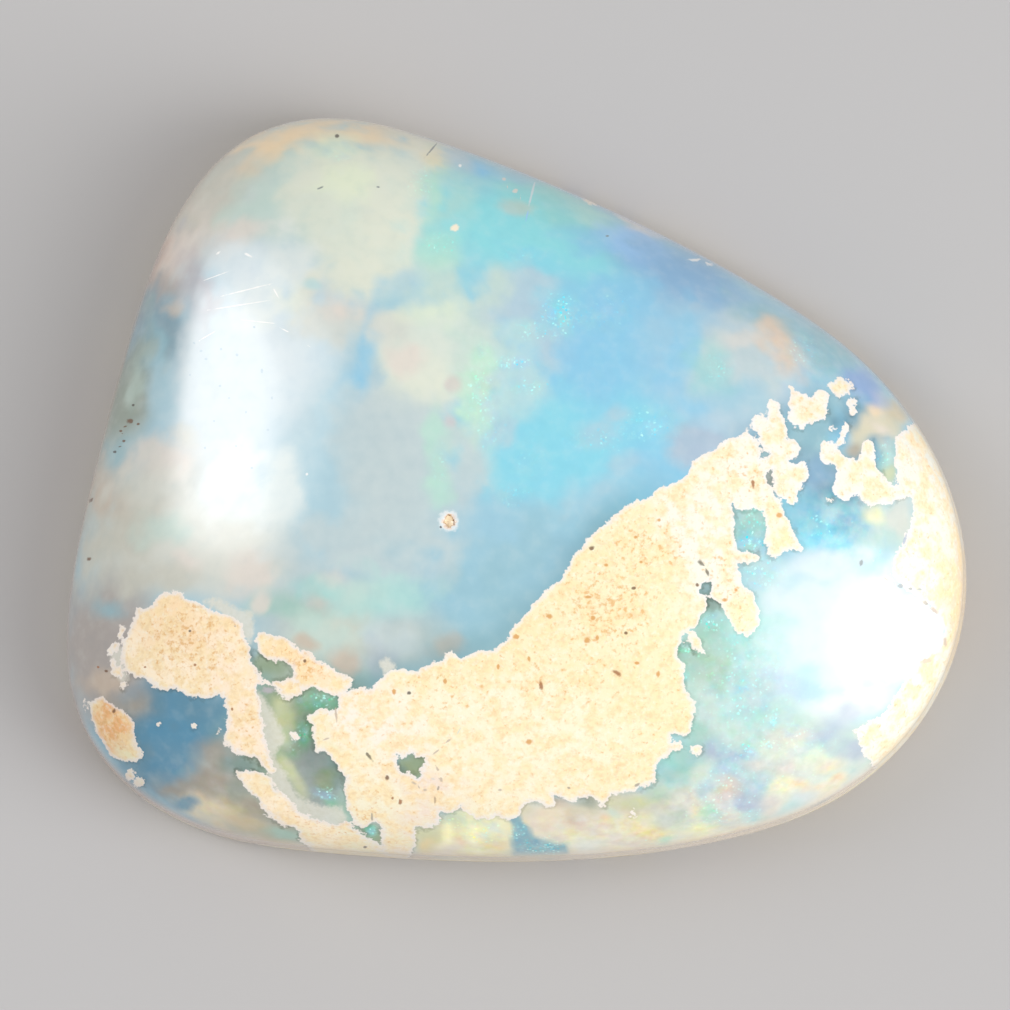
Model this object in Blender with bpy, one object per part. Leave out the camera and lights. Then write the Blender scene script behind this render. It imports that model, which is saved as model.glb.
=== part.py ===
"""Boulder opal: one loose free-form cabochon, lying on its flat back with the polished dome up.

The stone is a single solid. A sphere is pressed into its shape: the outline comes from a closed
curve through a few measured points, and the height from a cabochon's section, which is a flat
back, a small back bevel, a nearly upright girdle and an elliptical dome.
Metres, +Z up through the dome, the origin under the middle of the stone on its back face.
"""

import math

import bmesh
import bpy
import numpy as np

MM = 0.001

# Driving dimensions, in millimetres
STONE_HEIGHT = 4.6
GIRDLE_HEIGHT = 1.15  # where the dome springs from the girdle
GIRDLE_DRAFT = 0.06  # how far the girdle leans in, from its widest line to the dome
BEVEL_HEIGHT = 0.40  # the widest line of the stone
BEVEL_WIDTH = 0.35  # how far the flat back stays inside the widest line
DOME_FULLNESS = 2.4  # 2 is a plain ellipse, and more is a flatter crown with steeper shoulders
CROWN = (-0.60, -0.25)  # the highest point of the dome, seen from above

# The widest line of the stone from above, clockwise from its left end. The finished curve is
# shifted by a few hundredths, so that its box is centred on the origin
OUTLINE = (
    (-9.01, -3.05),
    (-8.54, 0.05),
    (-7.72, 3.20),
    (-6.76, 5.60),
    (-5.45, 7.03),
    (-3.61, 7.47),
    (-1.85, 7.10),
    (0.46, 6.24),
    (2.75, 5.20),
    (4.97, 3.98),
    (6.96, 2.54),
    (8.33, 0.75),
    (8.98, -1.40),
    (8.80, -3.22),
    (7.88, -4.95),
    (6.25, -6.30),
    (4.60, -6.92),
    (2.88, -7.26),
    (-0.31, -7.46),
    (-3.77, -7.28),
    (-6.31, -6.81),
    (-7.97, -5.78),
    (-8.84, -4.38),
)

# Facets
SEGMENTS_ROUND = 104
SEGMENTS_OVER = 48
OUTLINE_STEPS = 40
GIRDLE_SHARE = 0.125  # of the lower half sphere's rings: the first 3 of 24
BEVEL_SHARE = 0.25  # the next 6, and the flat back has the rest


def clear_scene():
    for obj in list(bpy.data.objects):
        bpy.data.objects.remove(obj, do_unlink=True)


def closed_curve(points, steps):
    """A smooth closed curve through the points: a cubic between each two, with slopes that make
    its bend run on without a jump at every point."""
    start = np.array(points, float)
    end = np.roll(start, -1, axis=0)
    span = np.hypot(*(end - start).T)
    span_before = np.roll(span, 1)
    rise = (end - start) / span[:, None]
    rise_before = np.roll(rise, 1, axis=0)

    count = len(start)
    row = np.arange(count)
    balance = np.zeros((count, count))
    balance[row, row] = 2 * (span + span_before)
    balance[row, (row + 1) % count] = span_before
    balance[row, row - 1] = span
    pull = 3 * (span_before[:, None] * rise + span[:, None] * rise_before)
    slope = np.linalg.solve(balance, pull)
    slope_end = np.roll(slope, -1, axis=0)

    t = (np.arange(steps) / steps)[None, :, None]
    start, end, slope, slope_end = (a[:, None] for a in (start, end, slope, slope_end))
    span = span[:, None, None]
    curve = (
        (2 * t**3 - 3 * t**2 + 1) * start
        + (t**3 - 2 * t**2 + t) * span * slope
        + (3 * t**2 - 2 * t**3) * end
        + (t**3 - t**2) * span * slope_end
    )
    return curve.reshape(-1, 2)


def reach_from_crown():
    """A function that gives, for a direction from the crown, how far the widest line is."""
    curve = closed_curve(OUTLINE, OUTLINE_STEPS)
    curve -= (curve.min(axis=0) + curve.max(axis=0)) / 2
    from_crown = curve - np.array(CROWN)
    turn = np.arctan2(from_crown[:, 1], from_crown[:, 0])
    reach = np.hypot(from_crown[:, 0], from_crown[:, 1])
    return lambda direction: float(np.interp(direction, turn, reach, period=2 * math.pi))


def section(rise, reach):
    """The cabochon's section. For a point of the sphere at the angle rise above its equator it
    gives the distance from the crown's axis and the height, where reach is the widest line's."""
    foot = reach - GIRDLE_DRAFT
    if rise >= 0:
        across = math.cos(rise) ** (2 / DOME_FULLNESS)
        up = GIRDLE_HEIGHT + (STONE_HEIGHT - GIRDLE_HEIGHT) * math.sin(rise)
        return foot * across, up

    down = -rise / (math.pi / 2)
    if down <= GIRDLE_SHARE:
        part = down / GIRDLE_SHARE
        return foot + GIRDLE_DRAFT * part, GIRDLE_HEIGHT + (BEVEL_HEIGHT - GIRDLE_HEIGHT) * part
    if down <= GIRDLE_SHARE + BEVEL_SHARE:
        part = (down - GIRDLE_SHARE) / BEVEL_SHARE
        bend = part * math.pi / 2
        return reach - BEVEL_WIDTH * (1 - math.cos(bend)), BEVEL_HEIGHT * (1 - math.sin(bend))
    part = (1 - down) / (1 - GIRDLE_SHARE - BEVEL_SHARE)
    return (reach - BEVEL_WIDTH) * part, 0.0


def pressed_sphere(name):
    """A unit sphere whose every point is moved along its own direction onto the section."""
    reach = reach_from_crown()
    bm = bmesh.new()
    bmesh.ops.create_uvsphere(
        bm, u_segments=SEGMENTS_ROUND, v_segments=SEGMENTS_OVER, radius=1.0
    )
    for vert in bm.verts:
        direction = math.atan2(vert.co.y, vert.co.x)
        rise = math.asin(max(-1.0, min(1.0, vert.co.z)))
        across, up = section(rise, reach(direction))
        vert.co.x = (CROWN[0] + across * math.cos(direction)) * MM
        vert.co.y = (CROWN[1] + across * math.sin(direction)) * MM
        vert.co.z = up * MM
    bmesh.ops.recalc_face_normals(bm, faces=bm.faces)
    mesh = bpy.data.meshes.new(name)
    bm.to_mesh(mesh)
    bm.free()
    mesh.shade_smooth()
    return mesh


def opal_material():
    """Milky blue opal with a glassy polish."""
    material = bpy.data.materials.new("polished_opal")
    material.use_nodes = True
    shader = material.node_tree.nodes["Principled BSDF"]
    shader.inputs["Base Color"].default_value = (0.55, 0.70, 0.72, 1.0)
    shader.inputs["Roughness"].default_value = 0.12
    shader.inputs["Metallic"].default_value = 0.0
    return material


def main():
    clear_scene()
    collection = bpy.data.collections.new("boulder_opal")
    bpy.context.scene.collection.children.link(collection)
    stone = bpy.data.objects.new("stone", pressed_sphere("stone"))
    stone.data.materials.append(opal_material())
    collection.objects.link(stone)


main()
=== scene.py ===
"""Boulder opal: the looks of a loose free-form cabochon, lying on its back on a pale floor.

One fine surface stands for the solid stone. Its form is the solid's own, with one small pit, and
its markings are worked out at every point: soft clouds of milky opal, and cream sandstone that
comes through in ragged patches. Lengths are millimetres unless a name says otherwise.
"""

import math

import bpy
import numpy as np
from mathutils import Matrix


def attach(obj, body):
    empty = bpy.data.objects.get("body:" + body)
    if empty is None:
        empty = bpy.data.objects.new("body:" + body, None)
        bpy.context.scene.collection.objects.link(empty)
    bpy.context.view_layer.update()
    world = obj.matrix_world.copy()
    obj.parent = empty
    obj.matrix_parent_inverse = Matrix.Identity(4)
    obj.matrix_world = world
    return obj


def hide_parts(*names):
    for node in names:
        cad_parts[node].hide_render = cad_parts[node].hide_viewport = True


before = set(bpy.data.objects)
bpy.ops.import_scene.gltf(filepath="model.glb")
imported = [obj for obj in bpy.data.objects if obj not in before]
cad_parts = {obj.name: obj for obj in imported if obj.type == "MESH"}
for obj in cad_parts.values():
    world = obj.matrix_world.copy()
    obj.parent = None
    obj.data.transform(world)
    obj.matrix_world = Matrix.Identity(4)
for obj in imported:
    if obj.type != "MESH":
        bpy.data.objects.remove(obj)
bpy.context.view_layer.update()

MM = 0.001

# Form of the stone, as its solid has it
STONE_HEIGHT = 4.6
GIRDLE_HEIGHT = 1.15
GIRDLE_DRAFT = 0.06
BEVEL_HEIGHT = 0.40
BEVEL_WIDTH = 0.35
DOME_FULLNESS = 2.4
CROWN = (-0.60, -0.25)
# The widest line, clockwise from the left tip
OUTLINE = (
    (-9.01, -3.05), (-8.54, 0.05), (-7.72, 3.20), (-6.76, 5.60), (-5.45, 7.03), (-3.61, 7.47),
    (-1.85, 7.10), (0.46, 6.24), (2.75, 5.20), (4.97, 3.98), (6.96, 2.54), (8.33, 0.75),
    (8.98, -1.40), (8.80, -3.22), (7.88, -4.95), (6.25, -6.30), (4.60, -6.92), (2.88, -7.26),
    (-0.31, -7.46), (-3.77, -7.28), (-6.31, -6.81), (-7.97, -5.78), (-8.84, -4.38),
)
OUTLINE_STEPS = 40

# Fineness of the surface
COLUMNS = 600
DOME_ROWS = 134
GIRDLE_ROWS = 7
BEVEL_ROWS = 6
BACK_ROWS = 13
SECTION_STEPS = 4000  # how finely the dome's length is measured

# The camera and the photograph's frame. The photograph is 1010 pixels each way
FRAME_PX = 1010
PX_PER_MM = 50.0
MIDDLE_PX = (515.3, 487.8)  # where the middle of the stone shows
LENS = 300.0
SENSOR = 36.0
AZIMUTH = math.radians(35)
ELEVATION = math.radians(85)
GIRDLE_PLANE = 0.8  # the height at which 50 pixels are one millimetre


def linear(code):
    """An sRGB hex colour as the linear values that light adds up in."""
    parts = np.array([int(code[i : i + 2], 16) for i in (1, 3, 5)]) / 255
    return np.where(parts <= 0.04045, parts / 12.92, ((parts + 0.055) / 1.055) ** 2.4)


# Form


def closed_curve(points, steps):
    """A smooth closed curve through the points: a cubic between each two, with slopes that make
    its bend run on without a jump at every point."""
    start = np.array(points, float)
    end = np.roll(start, -1, axis=0)
    span = np.hypot(*(end - start).T)
    span_before = np.roll(span, 1)
    rise = (end - start) / span[:, None]
    rise_before = np.roll(rise, 1, axis=0)

    count = len(start)
    row = np.arange(count)
    balance = np.zeros((count, count))
    balance[row, row] = 2 * (span + span_before)
    balance[row, (row + 1) % count] = span_before
    balance[row, row - 1] = span
    pull = 3 * (span_before[:, None] * rise + span[:, None] * rise_before)
    slope = np.linalg.solve(balance, pull)
    slope_end = np.roll(slope, -1, axis=0)

    t = (np.arange(steps) / steps)[None, :, None]
    start, end, slope, slope_end = (a[:, None] for a in (start, end, slope, slope_end))
    span = span[:, None, None]
    curve = (
        (2 * t**3 - 3 * t**2 + 1) * start
        + (t**3 - 2 * t**2 + t) * span * slope
        + (3 * t**2 - 2 * t**3) * end
        + (t**3 - t**2) * span * slope_end
    )
    return curve.reshape(-1, 2)


def rim_spokes():
    """The directions from the crown and the reach to the widest line, one for each column. The
    columns are evenly spaced along the line, so that no part of the rim is coarse."""
    curve = closed_curve(OUTLINE, OUTLINE_STEPS)
    curve -= (curve.min(axis=0) + curve.max(axis=0)) / 2
    closed = np.vstack([curve, curve[:1]])
    length = np.concatenate([[0], np.cumsum(np.hypot(*np.diff(closed, axis=0).T))])
    even = np.linspace(0, length[-1], COLUMNS, endpoint=False)
    spokes = np.column_stack([np.interp(even, length, closed[:, i]) for i in (0, 1)])
    spokes = spokes[::-1] - np.array(CROWN)
    reach = np.hypot(spokes[:, 0], spokes[:, 1])
    return spokes / reach[:, None], reach


def stone_section(reach):
    """The stone's section from the crown to the middle of its back, a row of across and up for
    every spoke. The dome is an ellipse whose across is raised to the fullness, the girdle a
    straight lean, the bevel a quarter ellipse and the back flat. The dome's rows are evenly
    spaced along its length."""
    foot = reach - GIRDLE_DRAFT

    fine = np.linspace(0, math.pi / 2, SECTION_STEPS)
    across = np.sin(fine) ** (2 / DOME_FULLNESS)
    up = GIRDLE_HEIGHT + (STONE_HEIGHT - GIRDLE_HEIGHT) * np.cos(fine)
    step = np.hypot(np.diff(across) * reach.mean(), np.diff(up))
    length = np.concatenate([[0], np.cumsum(step)])
    turn = np.interp(np.linspace(0, length[-1], DOME_ROWS + 1)[1:], length, fine)
    dome_across = np.sin(turn)[:, None] ** (2 / DOME_FULLNESS) * foot
    dome_up = GIRDLE_HEIGHT + (STONE_HEIGHT - GIRDLE_HEIGHT) * np.cos(turn)

    down = np.linspace(0, 1, GIRDLE_ROWS + 1)[1:]
    girdle_across = foot + GIRDLE_DRAFT * down[:, None]
    girdle_up = GIRDLE_HEIGHT + (BEVEL_HEIGHT - GIRDLE_HEIGHT) * down

    bend = np.linspace(0, math.pi / 2, BEVEL_ROWS + 1)[1:]
    bevel_across = reach - BEVEL_WIDTH * (1 - np.cos(bend[:, None]))
    bevel_up = BEVEL_HEIGHT * (1 - np.sin(bend))

    inward = np.linspace(1, 0, BACK_ROWS + 1)[1:-1]
    back_across = (reach - BEVEL_WIDTH) * inward[:, None]
    back_up = np.zeros(len(inward))

    across = np.vstack([dome_across, girdle_across, bevel_across, back_across])
    up = np.concatenate([dome_up, girdle_up, bevel_up, back_up])
    return across, up


def stone_grid():
    """The stone's points and faces: the section carried round the spokes, closed by one point at
    the crown and one in the middle of the back."""
    spokes, reach = rim_spokes()
    across, up = stone_section(reach)
    rows = len(up)
    points = np.empty((rows, COLUMNS, 3))
    points[..., :2] = np.array(CROWN) + across[..., None] * spokes
    points[..., 2] = up[:, None]
    crown = (*CROWN, STONE_HEIGHT)
    heart = (*CROWN, 0.0)
    points = np.vstack([points.reshape(-1, 3), [crown, heart]])

    column = np.arange(COLUMNS)
    beside = (column + 1) % COLUMNS
    start = (np.arange(rows - 1) * COLUMNS)[:, None]
    quads = np.stack(
        [start + column, start + COLUMNS + column, start + COLUMNS + beside, start + beside],
        axis=-1,
    )
    last = (rows - 1) * COLUMNS
    crown_index = rows * COLUMNS
    top_fan = np.column_stack([np.full(COLUMNS, crown_index), column, beside])
    back_fan = np.column_stack([np.full(COLUMNS, crown_index + 1), last + beside, last + column])
    faces = quads.reshape(-1, 4).tolist() + top_fan.tolist() + back_fan.tolist()
    return points, faces


# The camera's view of the stone


def camera_axes():
    """The camera's right, up and back directions: it looks down on the dome, a little from the
    stone's front right, with the stone's +Y up in the picture."""
    back = np.array(
        [
            math.sin(AZIMUTH) * math.cos(ELEVATION),
            -math.cos(AZIMUTH) * math.cos(ELEVATION),
            math.sin(ELEVATION),
        ]
    )
    up = np.array([0.0, 1.0, 0.0])
    up -= up.dot(back) * back
    up /= np.linalg.norm(up)
    return np.cross(up, back), up, back


def camera_place():
    """Where the camera is: so far back that the frame is as wide as the photograph is at the
    girdle, and aimed so that the middle of the stone shows where the photograph has it."""
    right, up, back = camera_axes()
    middle = np.array([0.0, 0.0, GIRDLE_PLANE])
    off = (np.array(MIDDLE_PX) - FRAME_PX / 2) / PX_PER_MM
    aim = middle - off[0] * right + off[1] * up
    distance = FRAME_PX / PX_PER_MM * LENS / SENSOR
    return aim + distance * back


def seen_px(points):
    """Where the points show in the photograph, in its pixels: each one's offsets along the
    camera's right and up, divided by its depth."""
    right, up, back = camera_axes()
    offset = points - camera_place()
    depth = -(offset @ back)
    focal = FRAME_PX * LENS / SENSOR
    u = FRAME_PX / 2 + focal * (offset @ right) / depth
    v = FRAME_PX / 2 - focal * (offset @ up) / depth
    return np.column_stack([u, v])


# Markings. Places and outlines are the photograph's pixels, 50 to the millimetre

BODY_COLOUR = "#9CC4D2"
TONES = {
    # warm opal
    "peach": "#F0D4AB", "apricot": "#DFC3A8", "rose": "#C7A08A", "fawn": "#C4B29F",
    "shell": "#DBD1C6", "putty": "#C3C1B3", "tan": "#C9B897", "wheat": "#E6D6B4",
    "oat": "#CDC7AC", "butter": "#EDD29A", "straw": "#EDE7BA", "bright straw": "#FFF7C6",
    "dry grass": "#C5C99F", "pink": "#D8BAB6", "taupe": "#A39888", "ash": "#A79F99",
    "dusk": "#B5AFB3",
    # pale and milky opal
    "pearl": "#CFD0C5", "cream": "#DADDCB", "lime": "#E0E7CA", "milk": "#DDE3DE",
    "mist": "#BAC9CA", "white mist": "#CCD7DA", "frost": "#B6D4D3", "mint": "#AEDCC6",
    "leaf": "#C2E8C0",
    # green and sea green opal
    "celadon": "#BFD3C8", "pale sea": "#A9D3CC", "sea": "#9AC1B4", "sage": "#929C90",
    "moss": "#8C9E80", "smoke": "#98A19B", "willow": "#A6C2AC", "jade": "#8DAA88",
    "emerald": "#84C096", "bright emerald": "#4FD39A", "olive": "#8F9B72", "bottle": "#718A80",
    # blue and lilac opal
    "teal": "#90CEC9", "aqua": "#88D3D8", "cyan": "#84CDDD", "sky": "#86C1DC", "azure": "#7CC0E4",
    "lagoon": "#82BBCC", "drift": "#97C1D1", "shore": "#74A6B6", "slate": "#90B7C0",
    "powder": "#A8C8D2", "lilac": "#B1C5CF", "thistle": "#ABB5C4", "periwinkle": "#98C2EA",
    "violet": "#8E9FD0", "denim": "#82ABCC", "steel": "#7F9AA6", "pool": "#5C889C",
    "deep": "#508CAA",
    # sandstone
    "sand": "#EFE5BC", "warm sand": "#FFEBCC", "rusty sand": "#F2B476", "honey sand": "#FBDCB0",
    "tan sand": "#E9CDA6", "pale sand": "#FCE6CA", "bright sand": "#F6EADA",
    "blush sand": "#F0DDCB", "grey sand": "#ECEADA", "ivory": "#F4EACB", "bone": "#E6E5D8",
    # grains, cracks and scratches
    "chalk": "#F3F1EC", "soot": "#463C36", "umber": "#6A4424", "rust": "#9A5C28",
    "amber": "#D29448", "pewter": "#7E8684", "bark": "#6C6350", "cocoa": "#B89E80",
}

# Each cloud: its place, its half width and half height, its turn in degrees, and its tone
WASHES = (
    (185, 215, 85, 40, -58, "shell"),
    (240, 175, 60, 36, -35, "putty"),
    (350, 200, 90, 80, 0, "celadon"),
    (152, 335, 30, 55, 15, "steel"),
    (158, 395, 28, 44, 10, "powder"),
    (122, 400, 54, 18, -72, "sage"),
    (240, 390, 72, 150, 8, "white mist"),
    (130, 520, 60, 60, 0, "putty"),
    (200, 560, 90, 36, 0, "pearl"),
    (390, 470, 90, 110, 0, "mist"),
    (330, 510, 36, 90, 0, "powder"),
    (470, 600, 130, 60, -20, "slate"),
    (540, 520, 110, 60, -30, "drift"),
    (640, 370, 160, 120, 25, "sky"),
    (500, 230, 110, 50, 10, "aqua"),
    (690, 285, 90, 30, 32, "denim"),
    (570, 440, 90, 60, 0, "cyan"),
    (740, 370, 70, 60, 20, "lilac"),
    (820, 460, 60, 60, 0, "pool"),
    (820, 525, 60, 28, 0, "lagoon"),
    (740, 680, 70, 90, 15, "pale sea"),
    (810, 750, 90, 50, -20, "celadon"),
    (600, 830, 180, 30, -3, "wheat"),
    (170, 740, 70, 60, 20, "pool"),
    (240, 812, 60, 24, 25, "tan"),
    (300, 740, 60, 80, 20, "moss"),
    (95, 650, 34, 60, 0, "ash"),
    (340, 625, 70, 34, 0, "putty"),
)
CLOUDS = (
    # the left shoulder and rim
    # painted reflection: this rose cloud stands for a warm reflection on the left shoulder
    (168, 246, 84, 16, -62, "rose"),
    (194, 226, 66, 18, -58, "shell"),
    (216, 184, 56, 24, -46, "putty"),
    (262, 214, 36, 26, -10, "celadon"),
    (236, 238, 26, 12, -20, "shell"),
    (161, 285, 20, 13, 0, "ash"),
    (152, 320, 20, 26, 0, "steel"),
    (196, 284, 15, 36, -8, "dusk"),
    (160, 344, 16, 28, 0, "slate"),
    (162, 396, 18, 38, 5, "powder"),
    # painted highlight: this white cloud widens the left highlight at its left edge
    (190, 370, 13, 64, 0, "white mist"),
    (128, 392, 52, 14, -74, "sage"),
    (126, 458, 19, 22, 0, "slate"),
    (172, 460, 40, 22, -6, "shell"),
    (186, 440, 20, 14, 0, "pearl"),
    (108, 496, 20, 28, 0, "fawn"),
    (152, 490, 34, 20, 10, "pearl"),
    (122, 534, 38, 24, 0, "putty"),
    (92, 566, 13, 34, 8, "putty"),
    (172, 530, 26, 18, 0, "celadon"),
    (204, 522, 26, 14, 30, "pearl"),
    (186, 560, 15, 9, 12, "shell"),
    (240, 560, 36, 22, 0, "pearl"),
    (246, 574, 20, 16, 0, "shell"),
    (152, 580, 38, 16, 0, "putty"),
    (107, 612, 15, 10, 10, "slate"),
    (96, 650, 24, 32, 0, "ash"),
    (134, 706, 28, 12, 8, "taupe"),
    (110, 684, 20, 10, 0, "fawn"),
    # the peach band under the top rim and the first cream cloud
    (298, 136, 50, 11, -8, "peach"),
    (372, 136, 56, 11, 9, "peach"),
    (430, 156, 13, 13, 20, "shell"),
    (314, 156, 18, 9, 0, "celadon"),
    (338, 148, 21, 15, 0, "lime"),
    (352, 210, 62, 58, 0, "cream"),
    (402, 192, 40, 58, 8, "cream"),
    (388, 246, 38, 46, 22, "cream"),
    (344, 184, 26, 16, 0, "lime"),
    (434, 192, 10, 34, 4, "mint"),
    (435, 160, 10, 13, 0, "wheat"),
    (302, 172, 18, 16, 0, "cream"),
    # painted highlight: these milk and cream clouds brighten the soft upper part of the left
    # highlight
    (284, 268, 26, 34, 0, "milk"),
    (292, 300, 18, 18, 0, "cream"),
    (256, 296, 22, 26, 0, "milk"),
    (332, 318, 40, 30, 0, "pearl"),
    (340, 306, 22, 14, 0, "shell"),
    (352, 280, 26, 20, 0, "cream"),
    (312, 287, 9, 4, 15, "frost"),
    (404, 286, 22, 11, -30, "powder"),
    # the blue wedge and the second cream cloud
    (374, 340, 9, 34, 6, "sky"),
    (358, 384, 24, 11, -50, "sky"),
    (338, 414, 14, 30, 20, "powder"),
    (328, 460, 15, 44, 4, "powder"),
    (434, 348, 54, 50, 0, "cream"),
    (428, 388, 42, 28, 0, "cream"),
    (436, 306, 40, 18, 0, "celadon"),
    (390, 328, 18, 18, 0, "pearl"),
    (408, 362, 15, 12, 0, "shell"),
    (484, 362, 30, 52, 6, "celadon"),
    (486, 420, 24, 50, 0, "frost"),
    (440, 292, 26, 9, 0, "celadon"),
    (450, 452, 14, 26, 0, "celadon"),
    (464, 478, 18, 40, 0, "mist"),
    # the quiet middle
    (392, 440, 60, 50, 0, "mist"),
    (418, 500, 54, 54, 0, "mist"),
    # painted highlight: these two milk clouds whiten the lower end of the left highlight
    (276, 498, 30, 40, 0, "milk"),
    (226, 480, 32, 42, 0, "milk"),
    (334, 538, 44, 28, 0, "mist"),
    (402, 562, 54, 20, -8, "mist"),
    (288, 612, 30, 12, 8, "sea"),
    (262, 606, 8, 9, 0, "shell"),
    (324, 634, 34, 16, 12, "celadon"),
    (380, 600, 40, 20, 0, "pale sea"),
    (394, 640, 22, 22, 0, "mist"),
    (308, 644, 10, 6, 20, "fawn"),
    (348, 660, 12, 13, 0, "fawn"),
    # the aqua, blue and lilac of the top right
    (452, 206, 20, 40, 0, "pale sea"),
    (442, 248, 24, 24, 0, "pale sea"),
    (498, 236, 58, 20, 4, "aqua"),
    (440, 280, 20, 14, 0, "celadon"),
    (534, 262, 36, 13, 10, "cyan"),
    (560, 212, 38, 16, 22, "teal"),
    (482, 166, 13, 8, 20, "azure"),
    (456, 158, 16, 10, 20, "lilac"),
    (592, 220, 26, 9, 24, "pale sea"),
    (637, 228, 22, 6, 28, "shell"),
    (636, 247, 34, 13, 24, "periwinkle"),
    (580, 244, 26, 15, 20, "sky"),
    (682, 280, 46, 15, 30, "denim"),
    (512, 300, 38, 28, 0, "lilac"),
    (548, 310, 12, 22, 0, "lilac"),
    (482, 290, 20, 18, 0, "celadon"),
    (520, 380, 34, 44, 10, "frost"),
    (556, 350, 16, 24, 10, "lilac"),
    (562, 312, 22, 18, 0, "cyan"),
    (592, 360, 32, 40, 0, "sky"),
    (612, 296, 34, 22, 0, "sky"),
    (654, 428, 42, 24, 0, "cyan"),
    (682, 358, 17, 44, 22, "sky"),
    (694, 408, 18, 13, 0, "sky"),
    (532, 464, 32, 38, 0, "cyan"),
    (556, 416, 22, 18, 0, "cyan"),
    (504, 520, 44, 18, 0, "drift"),
    (736, 366, 52, 44, 10, "mist"),
    (764, 318, 26, 13, 34, "slate"),
    (722, 400, 32, 20, 0, "drift"),
    (690, 442, 25, 23, 0, "thistle"),
    (783, 349, 28, 13, 48, "apricot"),
    (818, 340, 24, 13, 40, "slate"),
    (836, 356, 24, 12, 40, "slate"),
    (868, 390, 20, 13, 50, "denim"),
    # the right end
    (814, 440, 34, 34, 0, "slate"),
    (818, 476, 22, 20, 0, "steel"),
    (886, 462, 10, 24, 0, "sea"),
    (891, 476, 6, 10, 0, "dry grass"),
    (820, 520, 32, 20, 0, "lagoon"),
    (792, 512, 16, 18, 0, "lagoon"),
    (836, 510, 11, 11, 0, "pale sea"),
    (814, 540, 24, 9, 0, "cyan"),
    (852, 542, 24, 12, 0, "cyan"),
    (886, 526, 26, 28, 0, "celadon"),
    (902, 512, 10, 16, 0, "pearl"),
    # painted highlight: this milk cloud brightens the right highlight's upper edge
    (890, 562, 12, 10, 0, "milk"),
    (750, 530, 16, 26, 0, "sea"),
    (768, 574, 22, 18, 0, "frost"),
    # the green and lilac field right of the band, and the lower rim
    (700, 664, 20, 44, 0, "willow"),
    (713, 622, 16, 26, 0, "willow"),
    (712, 696, 24, 22, 0, "celadon"),
    (742, 648, 26, 26, 0, "pale sea"),
    (740, 704, 30, 30, 0, "frost"),
    (716, 668, 13, 22, 0, "willow"),
    (726, 732, 24, 14, 0, "celadon"),
    (764, 690, 18, 16, 0, "celadon"),
    (800, 692, 20, 13, 20, "periwinkle"),
    (780, 700, 26, 16, 0, "lilac"),
    # painted highlight: these white mist, chalk and milk clouds whiten the right highlight and
    # carry it to the sandstone and down to its lower edge
    (856, 624, 80, 58, 0, "white mist"),
    (926, 636, 26, 40, 0, "chalk"),
    (846, 706, 44, 12, -8, "milk"),
    (774, 722, 26, 14, -10, "pale sea"),
    (700, 742, 20, 20, 0, "sea"),
    (672, 774, 26, 22, 0, "sea"),
    (742, 776, 28, 16, 0, "mist"),
    (692, 786, 34, 12, 0, "celadon"),
    (704, 800, 36, 13, 0, "shell"),
    (742, 803, 12, 8, 0, "thistle"),
    (768, 796, 24, 12, -10, "pearl"),
    (800, 744, 46, 28, -10, "celadon"),
    (786, 772, 30, 12, -10, "pearl"),
    (820, 778, 46, 14, -24, "cream"),
    (806, 792, 50, 9, -24, "cream"),
    (838, 724, 28, 14, -25, "thistle"),
    (850, 746, 16, 15, 0, "thistle"),
    (694, 826, 44, 12, -6, "wheat"),
    (604, 826, 60, 17, 0, "wheat"),
    (640, 806, 50, 16, 0, "oat"),
    (618, 806, 16, 10, 0, "oat"),
    (650, 836, 60, 12, 0, "straw"),
    (556, 816, 30, 14, 0, "wheat"),
    (583, 810, 14, 9, 0, "tan"),
    (546, 832, 18, 8, 0, "wheat"),
    (592, 834, 34, 12, 0, "straw"),
    (470, 836, 50, 28, 0, "straw"),
    (446, 846, 30, 9, 0, "wheat"),
    (438, 826, 10, 10, 0, "wheat"),
    # the blue pool in the lower left and the tan clouds under it
    (192, 716, 40, 22, 8, "deep"),
    (168, 756, 32, 38, 10, "deep"),
    (206, 708, 26, 16, 0, "pool"),
    (214, 754, 18, 18, 0, "taupe"),
    (228, 780, 26, 20, 0, "taupe"),
    (196, 788, 20, 10, 12, "taupe"),
    (172, 791, 14, 9, 20, "taupe"),
    (158, 780, 10, 10, 30, "steel"),
    (216, 812, 26, 12, 15, "wheat"),
    (248, 822, 22, 10, 12, "tan"),
    (190, 806, 10, 5, 0, "deep"),
    (268, 806, 22, 20, 30, "smoke"),
    (268, 662, 22, 11, 28, "moss"),
    (290, 708, 14, 16, 0, "moss"),
    (316, 698, 26, 10, 0, "jade"),
    (303, 736, 9, 22, 0, "jade"),
    (310, 774, 26, 30, 0, "smoke"),
    (322, 798, 20, 12, 0, "smoke"),
    (412, 764, 22, 17, 0, "olive"),
    (348, 814, 12, 16, 0, "willow"),
    (373, 835, 13, 13, 0, "olive"),
    (371, 831, 7, 5, 0, "emerald"),
    # what shows through the sandstone's gaps
    (707, 590, 15, 18, 0, "bottle"),
    (766, 472, 10, 28, 0, "smoke"),
    (344, 693, 10, 5, 0, "taupe"),
)
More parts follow.
